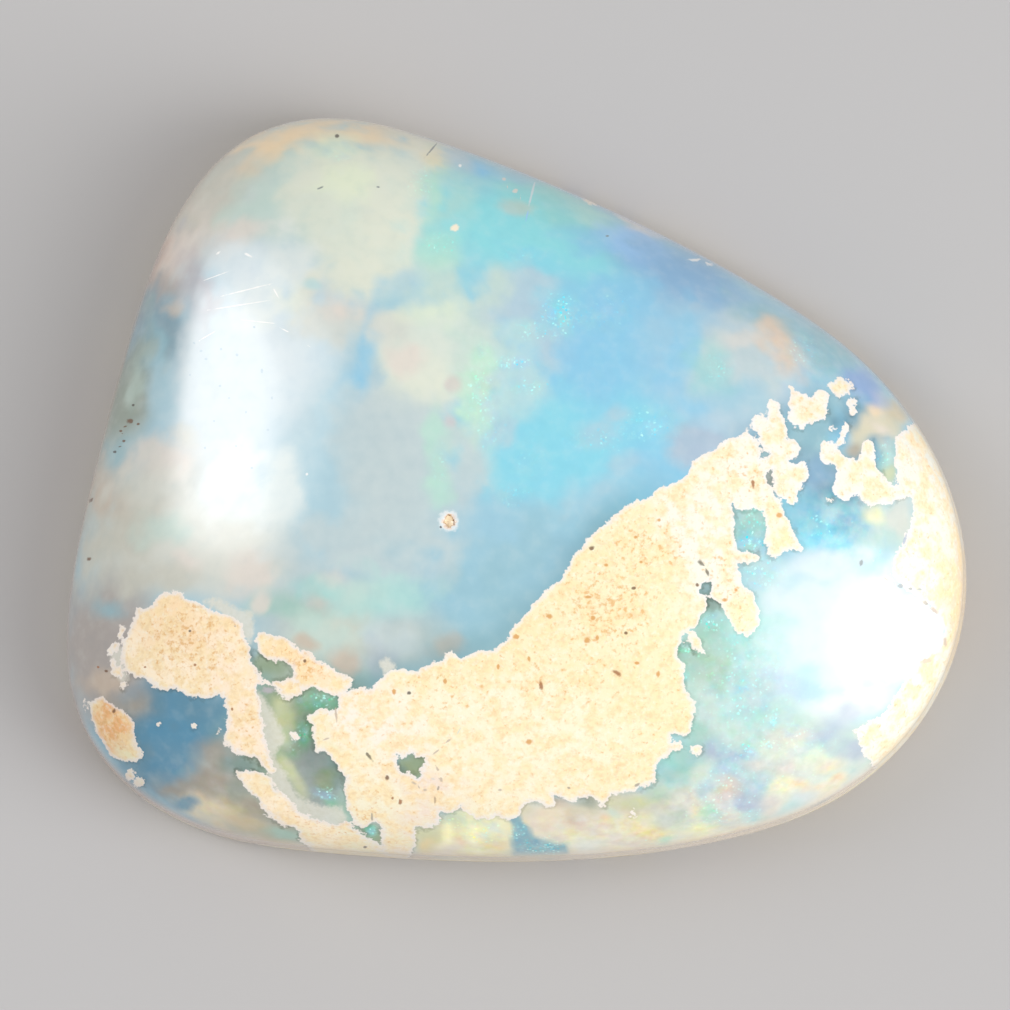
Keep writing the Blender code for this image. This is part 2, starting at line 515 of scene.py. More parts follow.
# Smaller flakes of opal with crisper edges
FLAKES = (
    # the tan cloud and the leaf at the right end
    (872, 428, 22, 15, -12, "wheat"),
    (890, 422, 15, 18, 0, "oat"),
    (858, 440, 12, 15, 20, "oat"),
    (898, 411, 14, 12, 40, "tan"),
    (880, 431, 10, 6, 20, "shell"),
    (874, 410, 8, 6, 0, "peach"),
    (853, 451, 8, 6, 40, "taupe"),
    (882, 398, 10, 7, 40, "thistle"),
    (882, 447, 8, 10, 0, "putty"),
    (887, 461, 6, 8, 0, "celadon"),
    (873, 516, 9, 12, 0, "straw"),
    (834, 517, 7, 9, 0, "powder"),
    (858, 533, 10, 8, 0, "slate"),
    # painted highlight: this white flake fills the right highlight's upper fringe
    (822, 566, 34, 15, 0, "white mist"),
    # the middle
    (685, 350, 12, 26, 22, "sky"),
    (512, 332, 18, 14, 0, "frost"),
    (491, 386, 11, 11, 0, "celadon"),
    (508, 432, 13, 18, 0, "powder"),
    # the lower rim
    (474, 836, 36, 27, 0, "straw"),
    (449, 822, 14, 10, 0, "dry grass"),
    (478, 840, 9, 10, 0, "bright straw"),
    (492, 832, 5, 6, 0, "lime"),
    (446, 835, 6, 8, 0, "bright straw"),
    (463, 844, 10, 6, 0, "peach"),
    (494, 846, 12, 7, 0, "butter"),
    (427, 838, 11, 14, 0, "dry grass"),
    (428, 843, 7, 6, 0, "butter"),
    (450, 850, 14, 5, 0, "shell"),
    (462, 811, 9, 4, 0, "dusk"),
    (522, 812, 10, 8, 0, "oat"),
    (547, 824, 22, 18, 0, "shell"),
    (548, 818, 14, 9, 0, "wheat"),
    (563, 803, 10, 7, 0, "fawn"),
    (580, 812, 16, 10, 0, "oat"),
    (588, 802, 10, 6, 0, "sage"),
    (574, 824, 9, 9, 0, "fawn"),
    (590, 828, 16, 12, 0, "shell"),
    (588, 846, 16, 7, 0, "milk"),
    (612, 813, 7, 6, 0, "celadon"),
    (640, 800, 30, 7, -12, "dry grass"),
    (616, 838, 16, 8, 0, "shell"),
    (634, 822, 14, 8, 0, "straw"),
    (650, 832, 16, 10, 0, "butter"),
    (640, 844, 12, 6, 0, "shell"),
    (694, 806, 10, 11, 0, "peach"),
    (668, 816, 12, 10, 0, "putty"),
    (676, 796, 18, 7, 0, "pearl"),
    (664, 843, 8, 5, 0, "mint"),
    (682, 834, 12, 8, 0, "cream"),
    (708, 826, 12, 8, 0, "lime"),
    (722, 806, 12, 10, 0, "shell"),
    (668, 762, 9, 8, 0, "teal"),
    (655, 792, 12, 6, 0, "willow"),
    # the mottled field in the lower right
    (706, 707, 10, 18, 0, "celadon"),
    (718, 736, 10, 13, 0, "celadon"),
    (712, 752, 9, 8, 0, "thistle"),
    (730, 760, 10, 8, 0, "powder"),
    (722, 771, 12, 8, 0, "powder"),
    (757, 768, 7, 7, 0, "shell"),
    (700, 773, 8, 6, 0, "shell"),
    (746, 796, 14, 12, 0, "thistle"),
    (755, 784, 15, 9, 0, "powder"),
    (770, 751, 13, 12, 0, "cream"),
    (791, 748, 17, 15, 0, "cream"),
    (788, 768, 8, 7, 0, "shell"),
    (776, 735, 10, 7, 0, "pearl"),
    (800, 735, 13, 7, 0, "shell"),
    (814, 758, 12, 11, 0, "lime"),
    (828, 768, 13, 9, -20, "wheat"),
    (838, 779, 10, 5, -30, "peach"),
    (820, 791, 15, 5, -20, "wheat"),
    (804, 785, 10, 6, 0, "peach"),
    (783, 787, 15, 11, 0, "straw"),
    (772, 804, 9, 12, 0, "shell"),
    (806, 799, 13, 4, -20, "white mist"),
    (790, 808, 13, 5, -20, "frost"),
    (728, 785, 10, 8, 0, "apricot"),
    (706, 789, 8, 9, 0, "powder"),
    (716, 796, 9, 7, 0, "shell"),
    (706, 812, 8, 11, 0, "mint"),
    (730, 823, 15, 5, -10, "pearl"),
    (750, 815, 11, 10, 0, "frost"),
    (700, 827, 15, 7, 0, "straw"),
    # the notches in the right side of the band
    (713, 604, 10, 9, 0, "bottle"),
    (684, 648, 10, 4, 12, "bright emerald"),
    (677, 654, 5, 5, 0, "olive"),
    (710, 628, 14, 10, 0, "sea"),
    # the pockets in the lower left
    (254, 656, 5, 9, 0, "steel"),
    (270, 668, 18, 8, 24, "moss"),
    (288, 706, 10, 11, 0, "dry grass"),
    (300, 700, 8, 7, 0, "moss"),
    (320, 701, 16, 8, 0, "emerald"),
    (304, 734, 5, 11, 0, "emerald"),
    (290, 752, 12, 8, 0, "jade"),
    (309, 768, 10, 18, 0, "smoke"),
    (336, 772, 7, 12, 0, "bottle"),
    (326, 780, 9, 9, 0, "olive"),
    (282, 714, 6, 15, -28, "dry grass"),
    (290, 736, 6, 8, -20, "celadon"),
    (290, 770, 4, 13, -24, "dry grass"),
    (331, 801, 6, 5, 0, "emerald"),
    (286, 768, 7, 14, -20, "dry grass"),
    (297, 788, 6, 12, -25, "dry grass"),
    (284, 726, 8, 18, -20, "dry grass"),
    (240, 764, 20, 9, 6, "bottle"),
    (236, 790, 12, 14, 0, "sage"),
    (252, 808, 10, 10, 0, "taupe"),
    (284, 838, 20, 5, 12, "sea"),
    (371, 829, 6, 4, 0, "bright emerald"),
    (412, 766, 15, 11, 0, "olive"),
    (397, 762, 3, 7, 0, "steel"),
    (404, 768, 6, 5, 0, "bottle"),
    (420, 763, 7, 6, 0, "moss"),
    (770, 478, 8, 20, 0, "smoke"),
    (766, 455, 6, 6, 0, "slate"),
)
# The blue window in the lower rim has a straight left side, so it is an outline
BLUE_WINDOW = (
    (503, 817), (512, 816), (519, 818), (521, 826), (527, 831), (531, 838), (540, 841),
    (566, 842), (567, 862), (511, 862), (512, 834), (507, 824),
)
# Faint glows that lie over the clouds
GLOWS = (
    (478, 390, 15, 32, 8, "leaf"),
    (466, 412, 12, 10, 0, "leaf"),
    (436, 312, 26, 11, 0, "lime"),
    (455, 383, 7, 7, 30, "pink"),
    (452, 421, 6, 6, 0, "pink"),
    (434, 424, 9, 24, 4, "mint"),
    (441, 464, 11, 30, -6, "mint"),
    (438, 492, 13, 12, 0, "mint"),
    (440, 250, 16, 14, 0, "mint"),
    (690, 654, 12, 9, 20, "jade"),
    (512, 208, 16, 7, 10, "putty"),
    (498, 268, 13, 9, 0, "celadon"),
    (600, 432, 22, 14, 0, "lilac"),
    (616, 414, 9, 7, 0, "lilac"),
    (604, 488, 28, 16, -20, "lilac"),
    (630, 462, 20, 14, 0, "lilac"),
    (712, 368, 18, 20, 0, "teal"),
    (740, 340, 18, 9, -10, "shell"),
    (320, 590, 20, 10, 0, "teal"),
    (338, 581, 12, 7, 0, "shell"),
    (378, 656, 15, 12, 0, "thistle"),
    (446, 648, 16, 7, -10, "fawn"),
    (360, 592, 18, 12, 0, "celadon"),
    (712, 756, 20, 12, 0, "thistle"),
    (704, 772, 12, 10, 0, "lime"),
    (746, 796, 18, 12, 0, "thistle"),
    (685, 764, 20, 14, 0, "sea"),
    (140, 386, 8, 26, 14, "celadon"),
    (170, 308, 9, 8, 0, "apricot"),
    (270, 150, 34, 11, -28, "peach"),
    (840, 432, 10, 12, 0, "azure"),
    (816, 474, 14, 16, 0, "denim"),
    (866, 386, 14, 12, 40, "violet"),
    (668, 820, 20, 9, 0, "celadon"),
    (500, 560, 50, 22, -30, "slate"),
)
# The outermost skin, at the widest line, where the stone is thin: how far above the girdle it
# starts, within how many millimetres it is full, and its tones. The rose and apricot tones are
# painted reflection, a warm glow along the left, top left and lower left rims; the others are
# the rim's own tones
RIM_SKIN_TOP = 0.75
RIM_SKIN_FADE = 0.8
RIM_TONES_AND_WARM_REFLECTION = (
    (100, 560, 140, 260, 0, "rose"),
    (240, 150, 160, 90, -40, "apricot"),
    (390, 130, 70, 40, 10, "peach"),
    (620, 210, 200, 60, 30, "violet"),
    (860, 380, 70, 60, 45, "denim"),
    (950, 560, 60, 140, 0, "tan"),
    (880, 760, 130, 50, -38, "pale sand"),
    (680, 845, 180, 44, -10, "pale sand"),
    (480, 852, 60, 24, 0, "bright straw"),
    (330, 850, 220, 40, 8, "apricot"),
    (150, 790, 130, 60, 42, "rose"),
)

# Outlines of the sandstone that comes through the opal
SAND_PATCHES = {
    "left island": (
        (160, 593), (180, 592), (208, 607), (232, 616), (244, 633), (252, 648),
        (252, 659), (255, 668), (262, 677), (258, 690), (263, 705), (266, 725),
        (268, 745), (272, 760), (277, 772), (270, 776), (262, 768), (256, 760),
        (250, 757), (243, 754), (232, 751), (223, 739), (227, 719), (221, 694),
        (196, 697), (176, 690), (154, 688), (143, 678), (124, 671), (119, 658),
        (121, 642), (128, 629), (137, 610), (150, 604),
    ),
    "corner island": (
        (84, 701), (103, 698), (115, 707), (126, 711), (136, 725), (135, 742),
        (143, 751), (136, 760), (126, 762), (111, 757), (100, 738), (91, 718),
    ),
    "strip": (
        (254, 630), (268, 632), (299, 645), (312, 656), (338, 672), (352, 680),
        (350, 686), (343, 691), (334, 694), (326, 691), (315, 688), (305, 689),
        (300, 686), (296, 681), (293, 674), (290, 668), (285, 664), (278, 662),
        (270, 658), (262, 652), (255, 643),
    ),
    "strip foot": (
        (256, 677), (268, 679), (282, 676), (292, 677), (297, 682), (302, 689),
        (297, 694), (291, 698), (286, 699), (281, 697), (278, 690), (274, 685),
        (266, 685), (258, 688),
    ),
    "lower strip": (
        (236, 770), (246, 768), (256, 770), (264, 774), (272, 778), (280, 790),
        (288, 800), (298, 809), (310, 817), (322, 821), (335, 823), (345, 822),
        (353, 829), (360, 833), (367, 839), (376, 844), (384, 848), (392, 862),
        (320, 862), (306, 843), (300, 834), (294, 829), (283, 826), (278, 821),
        (270, 818), (263, 814), (259, 806), (254, 797), (250, 789), (244, 784),
        (240, 777),
    ),
    "band": (
        (354, 689), (373, 689), (391, 670), (416, 673), (430, 665), (450, 652),
        (462, 660), (494, 651), (511, 635), (520, 621), (544, 595), (565, 573),
        (574, 556), (588, 542), (597, 528), (624, 508), (640, 499), (660, 489),
        (684, 478), (696, 460), (716, 447), (733, 438), (747, 431), (754, 435),
        (758, 441), (761, 447), (765, 452), (770, 462), (773, 476), (775, 488),
        (778, 497), (783, 508), (790, 519), (794, 527), (797, 538), (803, 547),
        (798, 552), (790, 549), (783, 554), (775, 557), (766, 557), (760, 560),
        (748, 562), (740, 562), (737, 566), (739, 572), (742, 580),
        (753, 594), (761, 610), (760, 624), (748, 636), (736, 632), (727, 616),
        (721, 604), (712, 597), (706, 597), (706, 608), (700, 618), (698, 627),
        (685, 633), (680, 645), (676, 653), (683, 663), (682, 678), (684, 691),
        (694, 698), (700, 704), (698, 713), (692, 726), (690, 738), (682, 736),
        (673, 736), (671, 747), (666, 754), (661, 760), (658, 770), (656, 779),
        (650, 786), (640, 787), (634, 792), (627, 795), (611, 796), (609, 802),
        (605, 809), (601, 808), (597, 801), (589, 797), (582, 796), (577, 801),
        (568, 800), (562, 796), (553, 796), (555, 801), (552, 806), (545, 807),
        (540, 803), (534, 801), (527, 802), (522, 808), (519, 814), (515, 817),
        (510, 815), (505, 817), (500, 814), (494, 814), (490, 818), (480, 817),
        (475, 818), (470, 813), (466, 810), (460, 806), (455, 809), (447, 810),
        (438, 809), (437, 822), (430, 826), (419, 829), (415, 836), (413, 846),
        (410, 862), (386, 862), (384, 850), (383, 841), (380, 832), (377, 825),
        (372, 820), (366, 827), (359, 827), (352, 820), (346, 811), (345, 803),
        (343, 790), (344, 781), (341, 773), (337, 767), (331, 763), (329, 757),
        (324, 751), (316, 752), (312, 747), (311, 738), (310, 726), (306, 722),
        (305, 716), (313, 713), (320, 709), (331, 710), (338, 708), (339, 702),
        (341, 695), (348, 692),
    ),
    "islet A": (
        (791, 386), (796, 390), (803, 393), (812, 394), (817, 390), (825, 392),
        (829, 397), (828, 408), (826, 416), (818, 422), (809, 425), (802, 430),
        (794, 426), (790, 419), (791, 410), (789, 404), (791, 396),
    ),
    "islet B": (
        (827, 386), (840, 375), (848, 380), (856, 388), (846, 392), (841, 400), (833, 393),
    ),
    "islet C": (
        (771, 402), (778, 401), (782, 406), (780, 412), (780, 418), (785, 425),
        (786, 432), (784, 440), (793, 442), (799, 447), (801, 455), (795, 460),
        (790, 461), (796, 463), (806, 462), (805, 468), (808, 476), (803, 484),
        (800, 490), (798, 497), (800, 502), (794, 509), (788, 506), (784, 500),
        (772, 494), (766, 480), (764, 468), (764, 458), (762, 448), (763, 440),
        (758, 432), (753, 426), (752, 420), (757, 415), (767, 415), (770, 409),
    ),
    "islet D": (
        (819, 447), (822, 442), (829, 441), (836, 444), (840, 450), (846, 454),
        (853, 457), (857, 460), (859, 452), (862, 446), (866, 441), (873, 440),
        (875, 448), (876, 458), (877, 466), (881, 472), (884, 479), (889, 483),
        (896, 486), (912, 488), (912, 496), (900, 499), (886, 503), (870, 506),
        (862, 502), (856, 498), (848, 498), (834, 495), (829, 487), (833, 478),
        (832, 468), (829, 464), (827, 468), (822, 463), (819, 455),
    ),
    "tooth": ((686, 628), (697, 630), (703, 640), (706, 654), (697, 650), (689, 643), (687, 635)),
    "right rim": (
        (911, 424), (903, 433), (895, 443), (896, 483), (911, 491), (914, 509),
        (904, 543), (894, 556), (890, 572), (908, 589), (937, 612), (946, 630),
        (938, 648), (922, 661), (908, 677), (895, 697), (887, 715), (870, 720), (855, 730),
        (860, 743), (868, 762), (884, 774), (1000, 700), (1000, 500), (940, 400),
    ),
}
# Where opal shows through the sandstone
SAND_GAPS = {
    "teal window": (
        (732, 503), (741, 508), (764, 510), (766, 520), (764, 551), (752, 553),
        (738, 547), (735, 534),
    ),
    "dark window": (
        (395, 760), (398, 754), (402, 756), (408, 754), (412, 752), (418, 755),
        (427, 757), (426, 764), (422, 770), (420, 778), (415, 776), (410, 772),
        (402, 773), (398, 768),
    ),
    "chink": ((702, 584), (707, 581), (712, 583), (714, 590), (709, 595), (702, 593)),
    "window mouth": ((759, 544), (768, 543), (769, 561), (760, 563)),
    "first hole": ((761, 450), (767, 450), (772, 455), (768, 460), (762, 459)),
    "second hole": (
        (774, 469), (771, 475), (770, 480), (773, 486), (775, 492), (777, 499),
        (774, 498), (771, 492), (768, 485), (767, 477), (770, 471),
    ),
}
# Chalky, translucent bars along the sandstone
CHALK = {
    "wedge": (
        (200, 600), (214, 598), (232, 606), (252, 612), (255, 630), (250, 648), (238, 632),
        (222, 616),
    ),
    "upper bar": (
        (254, 690), (261, 693), (267, 701), (273, 711), (279, 723), (285, 734), (287, 742),
        (281, 748), (277, 754), (277, 762), (281, 772), (272, 778), (262, 755), (254, 720),
    ),
    "lower bar": (
        (274, 756), (280, 762), (285, 771), (289, 781), (295, 792), (302, 800), (310, 803),
        (322, 805), (334, 806), (342, 806), (346, 814), (350, 826), (350, 838), (318, 834),
        (300, 824), (285, 812), (272, 798), (264, 780),
    ),
    "band tooth": ((380, 664), (386, 656), (393, 664), (399, 671), (384, 676)),
    "left crumbs": (
        (110, 648), (122, 642), (126, 656), (129, 676), (124, 685), (115, 674), (108, 658),
    ),
    "east chip": ((854, 731), (868, 722), (880, 728), (866, 748), (860, 744)),
}
# Loose crumbs of sandstone: place and half width
CRUMBS = (
    (117, 672, 6), (112, 662, 4), (114, 647, 4), (121, 636, 4), (123, 630, 4), (124, 685, 4),
    (130, 775, 5), (139, 782, 5), (158, 724, 2.6),
    (194, 726, 2.6), (218, 731, 2.4), (292, 735, 4), (296, 738, 4), (677, 746, 5), (697, 750, 6),
    (852, 402, 5), (853, 411, 4), (845, 427, 4.5), (844, 434, 3.5), (841, 441, 4),
    (830, 501, 3), (633, 814, 4), (110, 652, 4), (824, 418, 3), (833, 428, 2.5),
)
# Washes of colour in the sandstone, in the same form as the opal's
SAND_WASHES = (
    (180, 640, 90, 60, 0, "warm sand"),
    (108, 725, 32, 44, 20, "rusty sand"),
    (248, 720, 34, 80, -20, "pale sand"),
    (302, 667, 56, 26, 30, "honey sand"),
    (172, 618, 44, 26, 0, "honey sand"),
    (300, 812, 74, 30, 25, "warm sand"),
    (368, 715, 50, 40, 0, "bright sand"),
    (500, 750, 130, 70, 0, "ivory"),
    (385, 795, 60, 60, 0, "ivory"),
    (420, 800, 26, 44, 0, "blush sand"),
    (386, 741, 28, 20, -20, "bright sand"),
    (951, 612, 9, 34, 6, "warm sand"),
    (949, 604, 8, 18, 8, "tan sand"),
    (712, 540, 44, 84, 0, "grey sand"),
    (790, 440, 76, 64, 0, "grey sand"),
    (870, 460, 70, 60, 0, "bone"),
    (940, 560, 60, 170, 0, "bone"),
    (900, 720, 60, 50, -40, "grey sand"),
    (962, 610, 14, 70, 0, "tan sand"),
)
# Where rusty grains gather: place, half width, half height, strength
RUST = (
    (605, 605, 62, 56, 1.0), (560, 680, 70, 44, 0.5), (648, 545, 56, 32, 0.8),
    (190, 640, 66, 50, 0.9), (300, 665, 52, 22, 1.0), (110, 725, 22, 32, 1.2),
    (745, 480, 34, 36, 0.6), (725, 585, 34, 60, 0.6), (330, 818, 60, 22, 0.8),
    (455, 690, 66, 32, 0.5), (246, 720, 20, 50, 0.6), (375, 790, 40, 50, 0.2),
)

# Single marks: place, half length, half width, turn in degrees, and tone
MARKS = (
    # grains near the left rim
    (130, 421, 3.4, 2.4, 0, "umber"), (138, 424, 1.6, 1.2, 0, "umber"),
    (133, 405, 1.4, 1.4, 0, "soot"), (121, 431, 1.6, 1.3, 0, "umber"),
    (124, 441, 1.6, 1.3, 0, "umber"), (115, 452, 1.8, 1.3, 0, "soot"),
    (91, 500, 3.0, 1.7, -45, "umber"), (89, 559, 2.6, 2.2, 0, "umber"),
    (106, 671, 1.8, 1.4, 0, "umber"), (98, 667, 1.4, 1.4, 0, "rust"),
    # specks and fine scratches in the left shoulder
    (194, 343, 1.6, 1.2, 30, "lilac"), (201, 351, 1.4, 1.2, 0, "lilac"),
    (206, 359, 2.0, 1.3, -10, "lilac"), (221, 349, 1.3, 1.3, 0, "lilac"),
    (237, 355, 1.4, 1.4, 0, "lilac"), (262, 371, 1.2, 2.4, 0, "lilac"),
    (220, 386, 1.5, 1.2, 0, "lilac"), (254, 327, 1.4, 1.2, 0, "lilac"),
    (246, 290, 28, 0.7, -14, "chalk"), (240, 305, 30, 0.6, -9, "chalk"),
    (276, 293, 6, 0.8, 60, "chalk"), (248, 255, 4.0, 1.4, 25, "chalk"),
    (218, 253, 3.0, 1.1, -35, "chalk"), (292, 334, 16, 0.7, 28, "chalk"),
    (307, 474, 1.6, 1.6, 0, "chalk"), (216, 276, 14, 0.5, -20, "chalk"),
    (262, 322, 20, 0.5, 6, "chalk"), (207, 336, 9, 0.5, -30, "chalk"),
    (300, 340, 11, 0.5, 34, "chalk"), (190, 375, 1.2, 1.2, 0, "lilac"),
    (229, 398, 1.2, 1.0, 0, "lilac"), (246, 412, 1.0, 1.4, 0, "lilac"),
    (214, 421, 1.2, 1.0, 0, "lilac"), (268, 430, 1.3, 1.1, 0, "lilac"),
    (236, 446, 1.1, 1.1, 0, "lilac"), (252, 468, 1.3, 1.0, 0, "lilac"),
    (205, 448, 1.1, 1.3, 0, "lilac"), (272, 398, 1.0, 1.6, 0, "lilac"),
    # marks near the top rim
    (337, 136, 2.4, 1.9, 0, "soot"), (432, 149, 9.0, 0.9, -50, "pewter"),
    (320, 188, 3.4, 1.1, -25, "pewter"), (378, 187, 1.8, 1.0, 0, "pewter"),
    (455, 228, 4.6, 3.6, -20, "pale sand"), (460, 166, 1.8, 1.6, 0, "chalk"),
    (504, 179, 2.2, 1.6, 0, "shell"), (515, 191, 3.0, 2.0, -30, "shell"),
    (532, 193, 15, 1.2, -76, "white mist"), (539, 178, 4.4, 1.8, 15, "chalk"),
    (527, 216, 7.0, 0.9, -78, "periwinkle"), (590, 201, 8.0, 3.4, 24, "warm sand"),
    (607, 236, 2.2, 1.0, 0, "pewter"), (698, 260, 10, 1.5, 2, "chalk"),
    (708, 263, 5.0, 2.6, 22, "chalk"),
    # grains in the left patches
    (190, 631, 1.5, 1.4, 0, "soot"), (195, 665, 1.6, 1.4, 0, "rust"),
    (145, 667, 1.3, 1.1, 0, "rust"),
    (235, 626, 1.2, 1.0, 0, "fawn"), (232, 709, 1.4, 1.8, 0, "rust"),
    (114, 711, 2.0, 2.6, 20, "umber"), (305, 661, 1.6, 2.0, 0, "umber"),
    (365, 847, 2.0, 1.2, 0, "soot"),
    # grains in the band
    (409, 693, 2.2, 1.8, 0, "soot"), (394, 692, 2.2, 2.8, 0, "amber"),
    (387, 778, 2.0, 3.0, 0, "umber"), (400, 802, 2.6, 2.8, 0, "rust"),
    (393, 798, 1.7, 1.6, 0, "rust"), (549, 616, 3.6, 2.4, 15, "amber"),
    (593, 618, 2.4, 2.6, 0, "amber"), (587, 640, 3.0, 3.6, 20, "amber"),
    (597, 638, 2.0, 3.0, 0, "amber"), (626, 633, 2.0, 1.7, 0, "umber"),
    (617, 673, 5.0, 2.4, 35, "rust"), (541, 685, 2.2, 5.6, -12, "rust"),
    (529, 742, 3.2, 2.6, 0, "amber"), (658, 674, 2.0, 3.4, 10, "amber"),
    (634, 588, 2.4, 1.5, -20, "umber"), (588, 597, 4.0, 1.5, 0, "amber"),
    (592, 548, 2.8, 2.2, -30, "umber"), (606, 565, 2.4, 1.8, 0, "amber"),
    (753, 484, 4.4, 1.7, 85, "rust"), (516, 637, 3.0, 2.6, 0, "amber"),
    (445, 681, 2.0, 3.2, 0, "amber"), (529, 659, 1.8, 2.6, 0, "amber"),
    (498, 667, 1.6, 2.6, 0, "amber"), (637, 663, 2.6, 1.4, 0, "amber"),
    (569, 788, 1.6, 1.3, 0, "taupe"), (659, 520, 2.0, 1.8, 0, "amber"),
    (636, 537, 2.0, 1.6, 0, "amber"), (641, 562, 2.0, 1.6, 0, "amber"),
    (701, 563, 4.4, 2.2, 40, "bark"), (707, 572, 4.4, 1.6, 62, "bark"),
    (697, 585, 1.8, 1.8, 0, "umber"), (448, 741, 4.0, 1.0, -38, "fawn"),
    (779, 515, 3.4, 2.4, 0, "amber"), (725, 600, 2.6, 2.0, 0, "amber"),
    (736, 590, 2.0, 2.0, 0, "amber"),
    # cracks and a dark spot in the lower left patches
    (368, 755, 8.0, 1.7, 52, "bark"), (364, 750, 3.0, 1.0, 10, "bark"),
    (372, 817, 4.0, 1.2, 88, "taupe"), (438, 770, 5.0, 1.2, 62, "fawn"),
    (441, 779, 5.0, 1.3, 88, "fawn"), (438, 789, 5.0, 1.2, 108, "taupe"),
    (435, 799, 5.4, 1.3, 92, "cocoa"), (459, 731, 5.0, 0.8, -62, "cream"),
    (436, 752, 4.0, 0.9, -38, "fawn"), (433, 779, 3.0, 1.2, 20, "shell"),
    (268, 690, 7.0, 4.0, -8, "dusk"), (336, 714, 7.0, 1.2, 85, "fawn"),
    (414, 783, 3.0, 1.4, 30, "fawn"), (425, 790, 2.4, 1.6, 0, "fawn"),
    (326, 739, 4.0, 1.0, -20, "fawn"), (637, 785, 3.6, 1.4, -30, "taupe"),
    (500, 790, 2.0, 1.4, 0, "fawn"),
    # arcs and grains in the pit
    (453.6, 521, 5.0, 0.9, 84, "umber"), (450, 515.6, 2.4, 0.8, 24, "umber"),
    (441, 527, 1.4, 1.1, 0, "soot"), (448, 524, 1.2, 0.9, 0, "cocoa"),
    # small cracks at the right end
    (861, 563, 3.6, 1.9, -70, "pewter"), (905, 539, 6.0, 1.5, -72, "thistle"),
    (901, 586, 4.6, 2.3, 10, "pewter"), (910, 588.5, 4.2, 1.6, 8, "pewter"),
    (919, 589.5, 3.0, 1.3, 0, "smoke"), (925, 603, 4.0, 2.1, 30, "taupe"),
    (934, 610, 4.8, 2.3, 38, "fawn"),
    (886, 579, 4.0, 1.0, 35, "fawn"), (945, 642, 2.0, 5.0, 0, "fawn"),
    (926, 661, 7.0, 2.4, -10, "apricot"),
)

# Spots of purer colour where flashes gather: the seed of their noise, and their tone
FLASH_SPOTS = ((211, "mint"), (221, "lilac"), (231, "aqua"), (241, "periwinkle"))
FLASH_SPOT_SIZE = 0.24

# Where flashes gather: place, half width, half height, strength
FLASHES = (
    (560, 312, 24, 22, 1.0), (545, 330, 40, 14, 0.6), (588, 318, 20, 14, 0.4),
    (514, 363, 26, 9, 0.8), (530, 386, 24, 12, 0.6), (480, 395, 15, 34, 0.8),
    (490, 430, 20, 30, 0.4), (483, 350, 8, 12, 0.5), (612, 310, 30, 30, 0.3),
    (650, 425, 36, 22, 0.45), (600, 440, 42, 16, 0.45), (515, 495, 20, 14, 0.5),
    (530, 460, 34, 34, 0.2), (440, 465, 10, 30, 0.3), (745, 682, 44, 20, 0.5),
    (740, 706, 9, 11, 0.8), (773, 719, 9, 13, 1.0), (792, 730, 13, 17, 0.7),
    (766, 744, 15, 7, 0.8), (748, 752, 13, 13, 0.9), (707, 800, 7, 11, 0.8),
    (720, 814, 11, 14, 0.8), (750, 812, 11, 16, 0.7), (736, 775, 22, 16, 0.4),
    (710, 622, 16, 14, 0.8), (692, 650, 16, 9, 1.2), (683, 685, 8, 20, 0.9),
    (745, 690, 70, 90, 0.4), (826, 526, 44, 20, 0.45), (766, 572, 24, 20, 0.7),
    (752, 520, 16, 26, 0.9), (750, 545, 16, 14, 1.1), (762, 576, 22, 16, 0.9),
    (600, 822, 60, 20, 0.15), (690, 810, 40, 24, 0.3), (724, 788, 44, 30, 0.5),
    (832, 524, 16, 12, 0.6), (875, 558, 12, 12, 0.5),
    (885, 455, 12, 16, 0.6), (452, 822, 26, 14, 0.5), (484, 832, 26, 18, 0.6),
    (542, 846, 30, 12, 1.0), (520, 832, 12, 14, 0.8),
    (704, 820, 50, 18, 0.35), (735, 812, 40, 14, 0.4), (660, 840, 40, 9, 0.35),
    (318, 700, 24, 10, 0.8), (303, 732, 7, 12, 0.9), (295, 748, 9, 9, 0.6),
    (326, 794, 16, 10, 1.0), (371, 831, 7, 6, 0.9),
    (420, 185, 16, 24, 0.4), (440, 245, 22, 16, 0.5), (520, 256, 26, 12, 0.3),
    (802, 350, 22, 22, 0.4), (718, 366, 20, 20, 0.4), (830, 446, 14, 12, 0.5),
    (707, 588, 6, 6, 0.25), (340, 155, 14, 12, 0.3), (515, 640, 9, 5, 0.9),
    (780, 780, 70, 24, 0.3), (800, 740, 50, 30, 0.4), (590, 380, 130, 120, 0.1),
    (480, 240, 120, 60, 0.08), (360, 220, 90, 90, 0.05),
)

# Where the opal breaks up into small pastel patches, in the same form
MOSAIC = (
    (610, 828, 110, 30, 0.8), (474, 836, 44, 30, 0.6), (700, 806, 80, 44, 1.0),
    (760, 760, 80, 60, 0.9), (735, 690, 60, 90, 0.7), (820, 770, 60, 30, 0.7),
    (226, 790, 70, 40, 0.5), (310, 740, 50, 70, 0.7), (850, 520, 60, 50, 0.6),
    (750, 540, 24, 40, 0.6), (480, 380, 40, 90, 0.3), (800, 360, 60, 40, 0.3),
    (538, 842, 44, 30, 0.5),
)

# Where the opal beside the sandstone's edge is darker all round, in its pockets and gaps
DARKER_POCKETS = (
    (300, 690, 60, 24, 0.7), (308, 745, 26, 50, 0.6), (325, 780, 36, 40, 0.6),
    (268, 662, 34, 24, 1.0), (245, 766, 26, 16, 1.0), (285, 830, 50, 26, 0.8),
    (411, 764, 24, 18, 0.9), (372, 832, 18, 14, 0.8),
    (711, 596, 18, 26, 1.0), (684, 650, 18, 16, 1.0), (770, 474, 10, 26, 0.5),
    (680, 690, 14, 40, 0.6), (748, 550, 26, 16, 0.7), (355, 822, 20, 16, 1.0),
)

# The band runs on under the opal, to the left of and above a slanting line through its foot, and
# its shade fades out to the right between these two places across
BAND_FOOT_PX = (300, 840)
BAND_SHADE_END_PX = (600, 710)

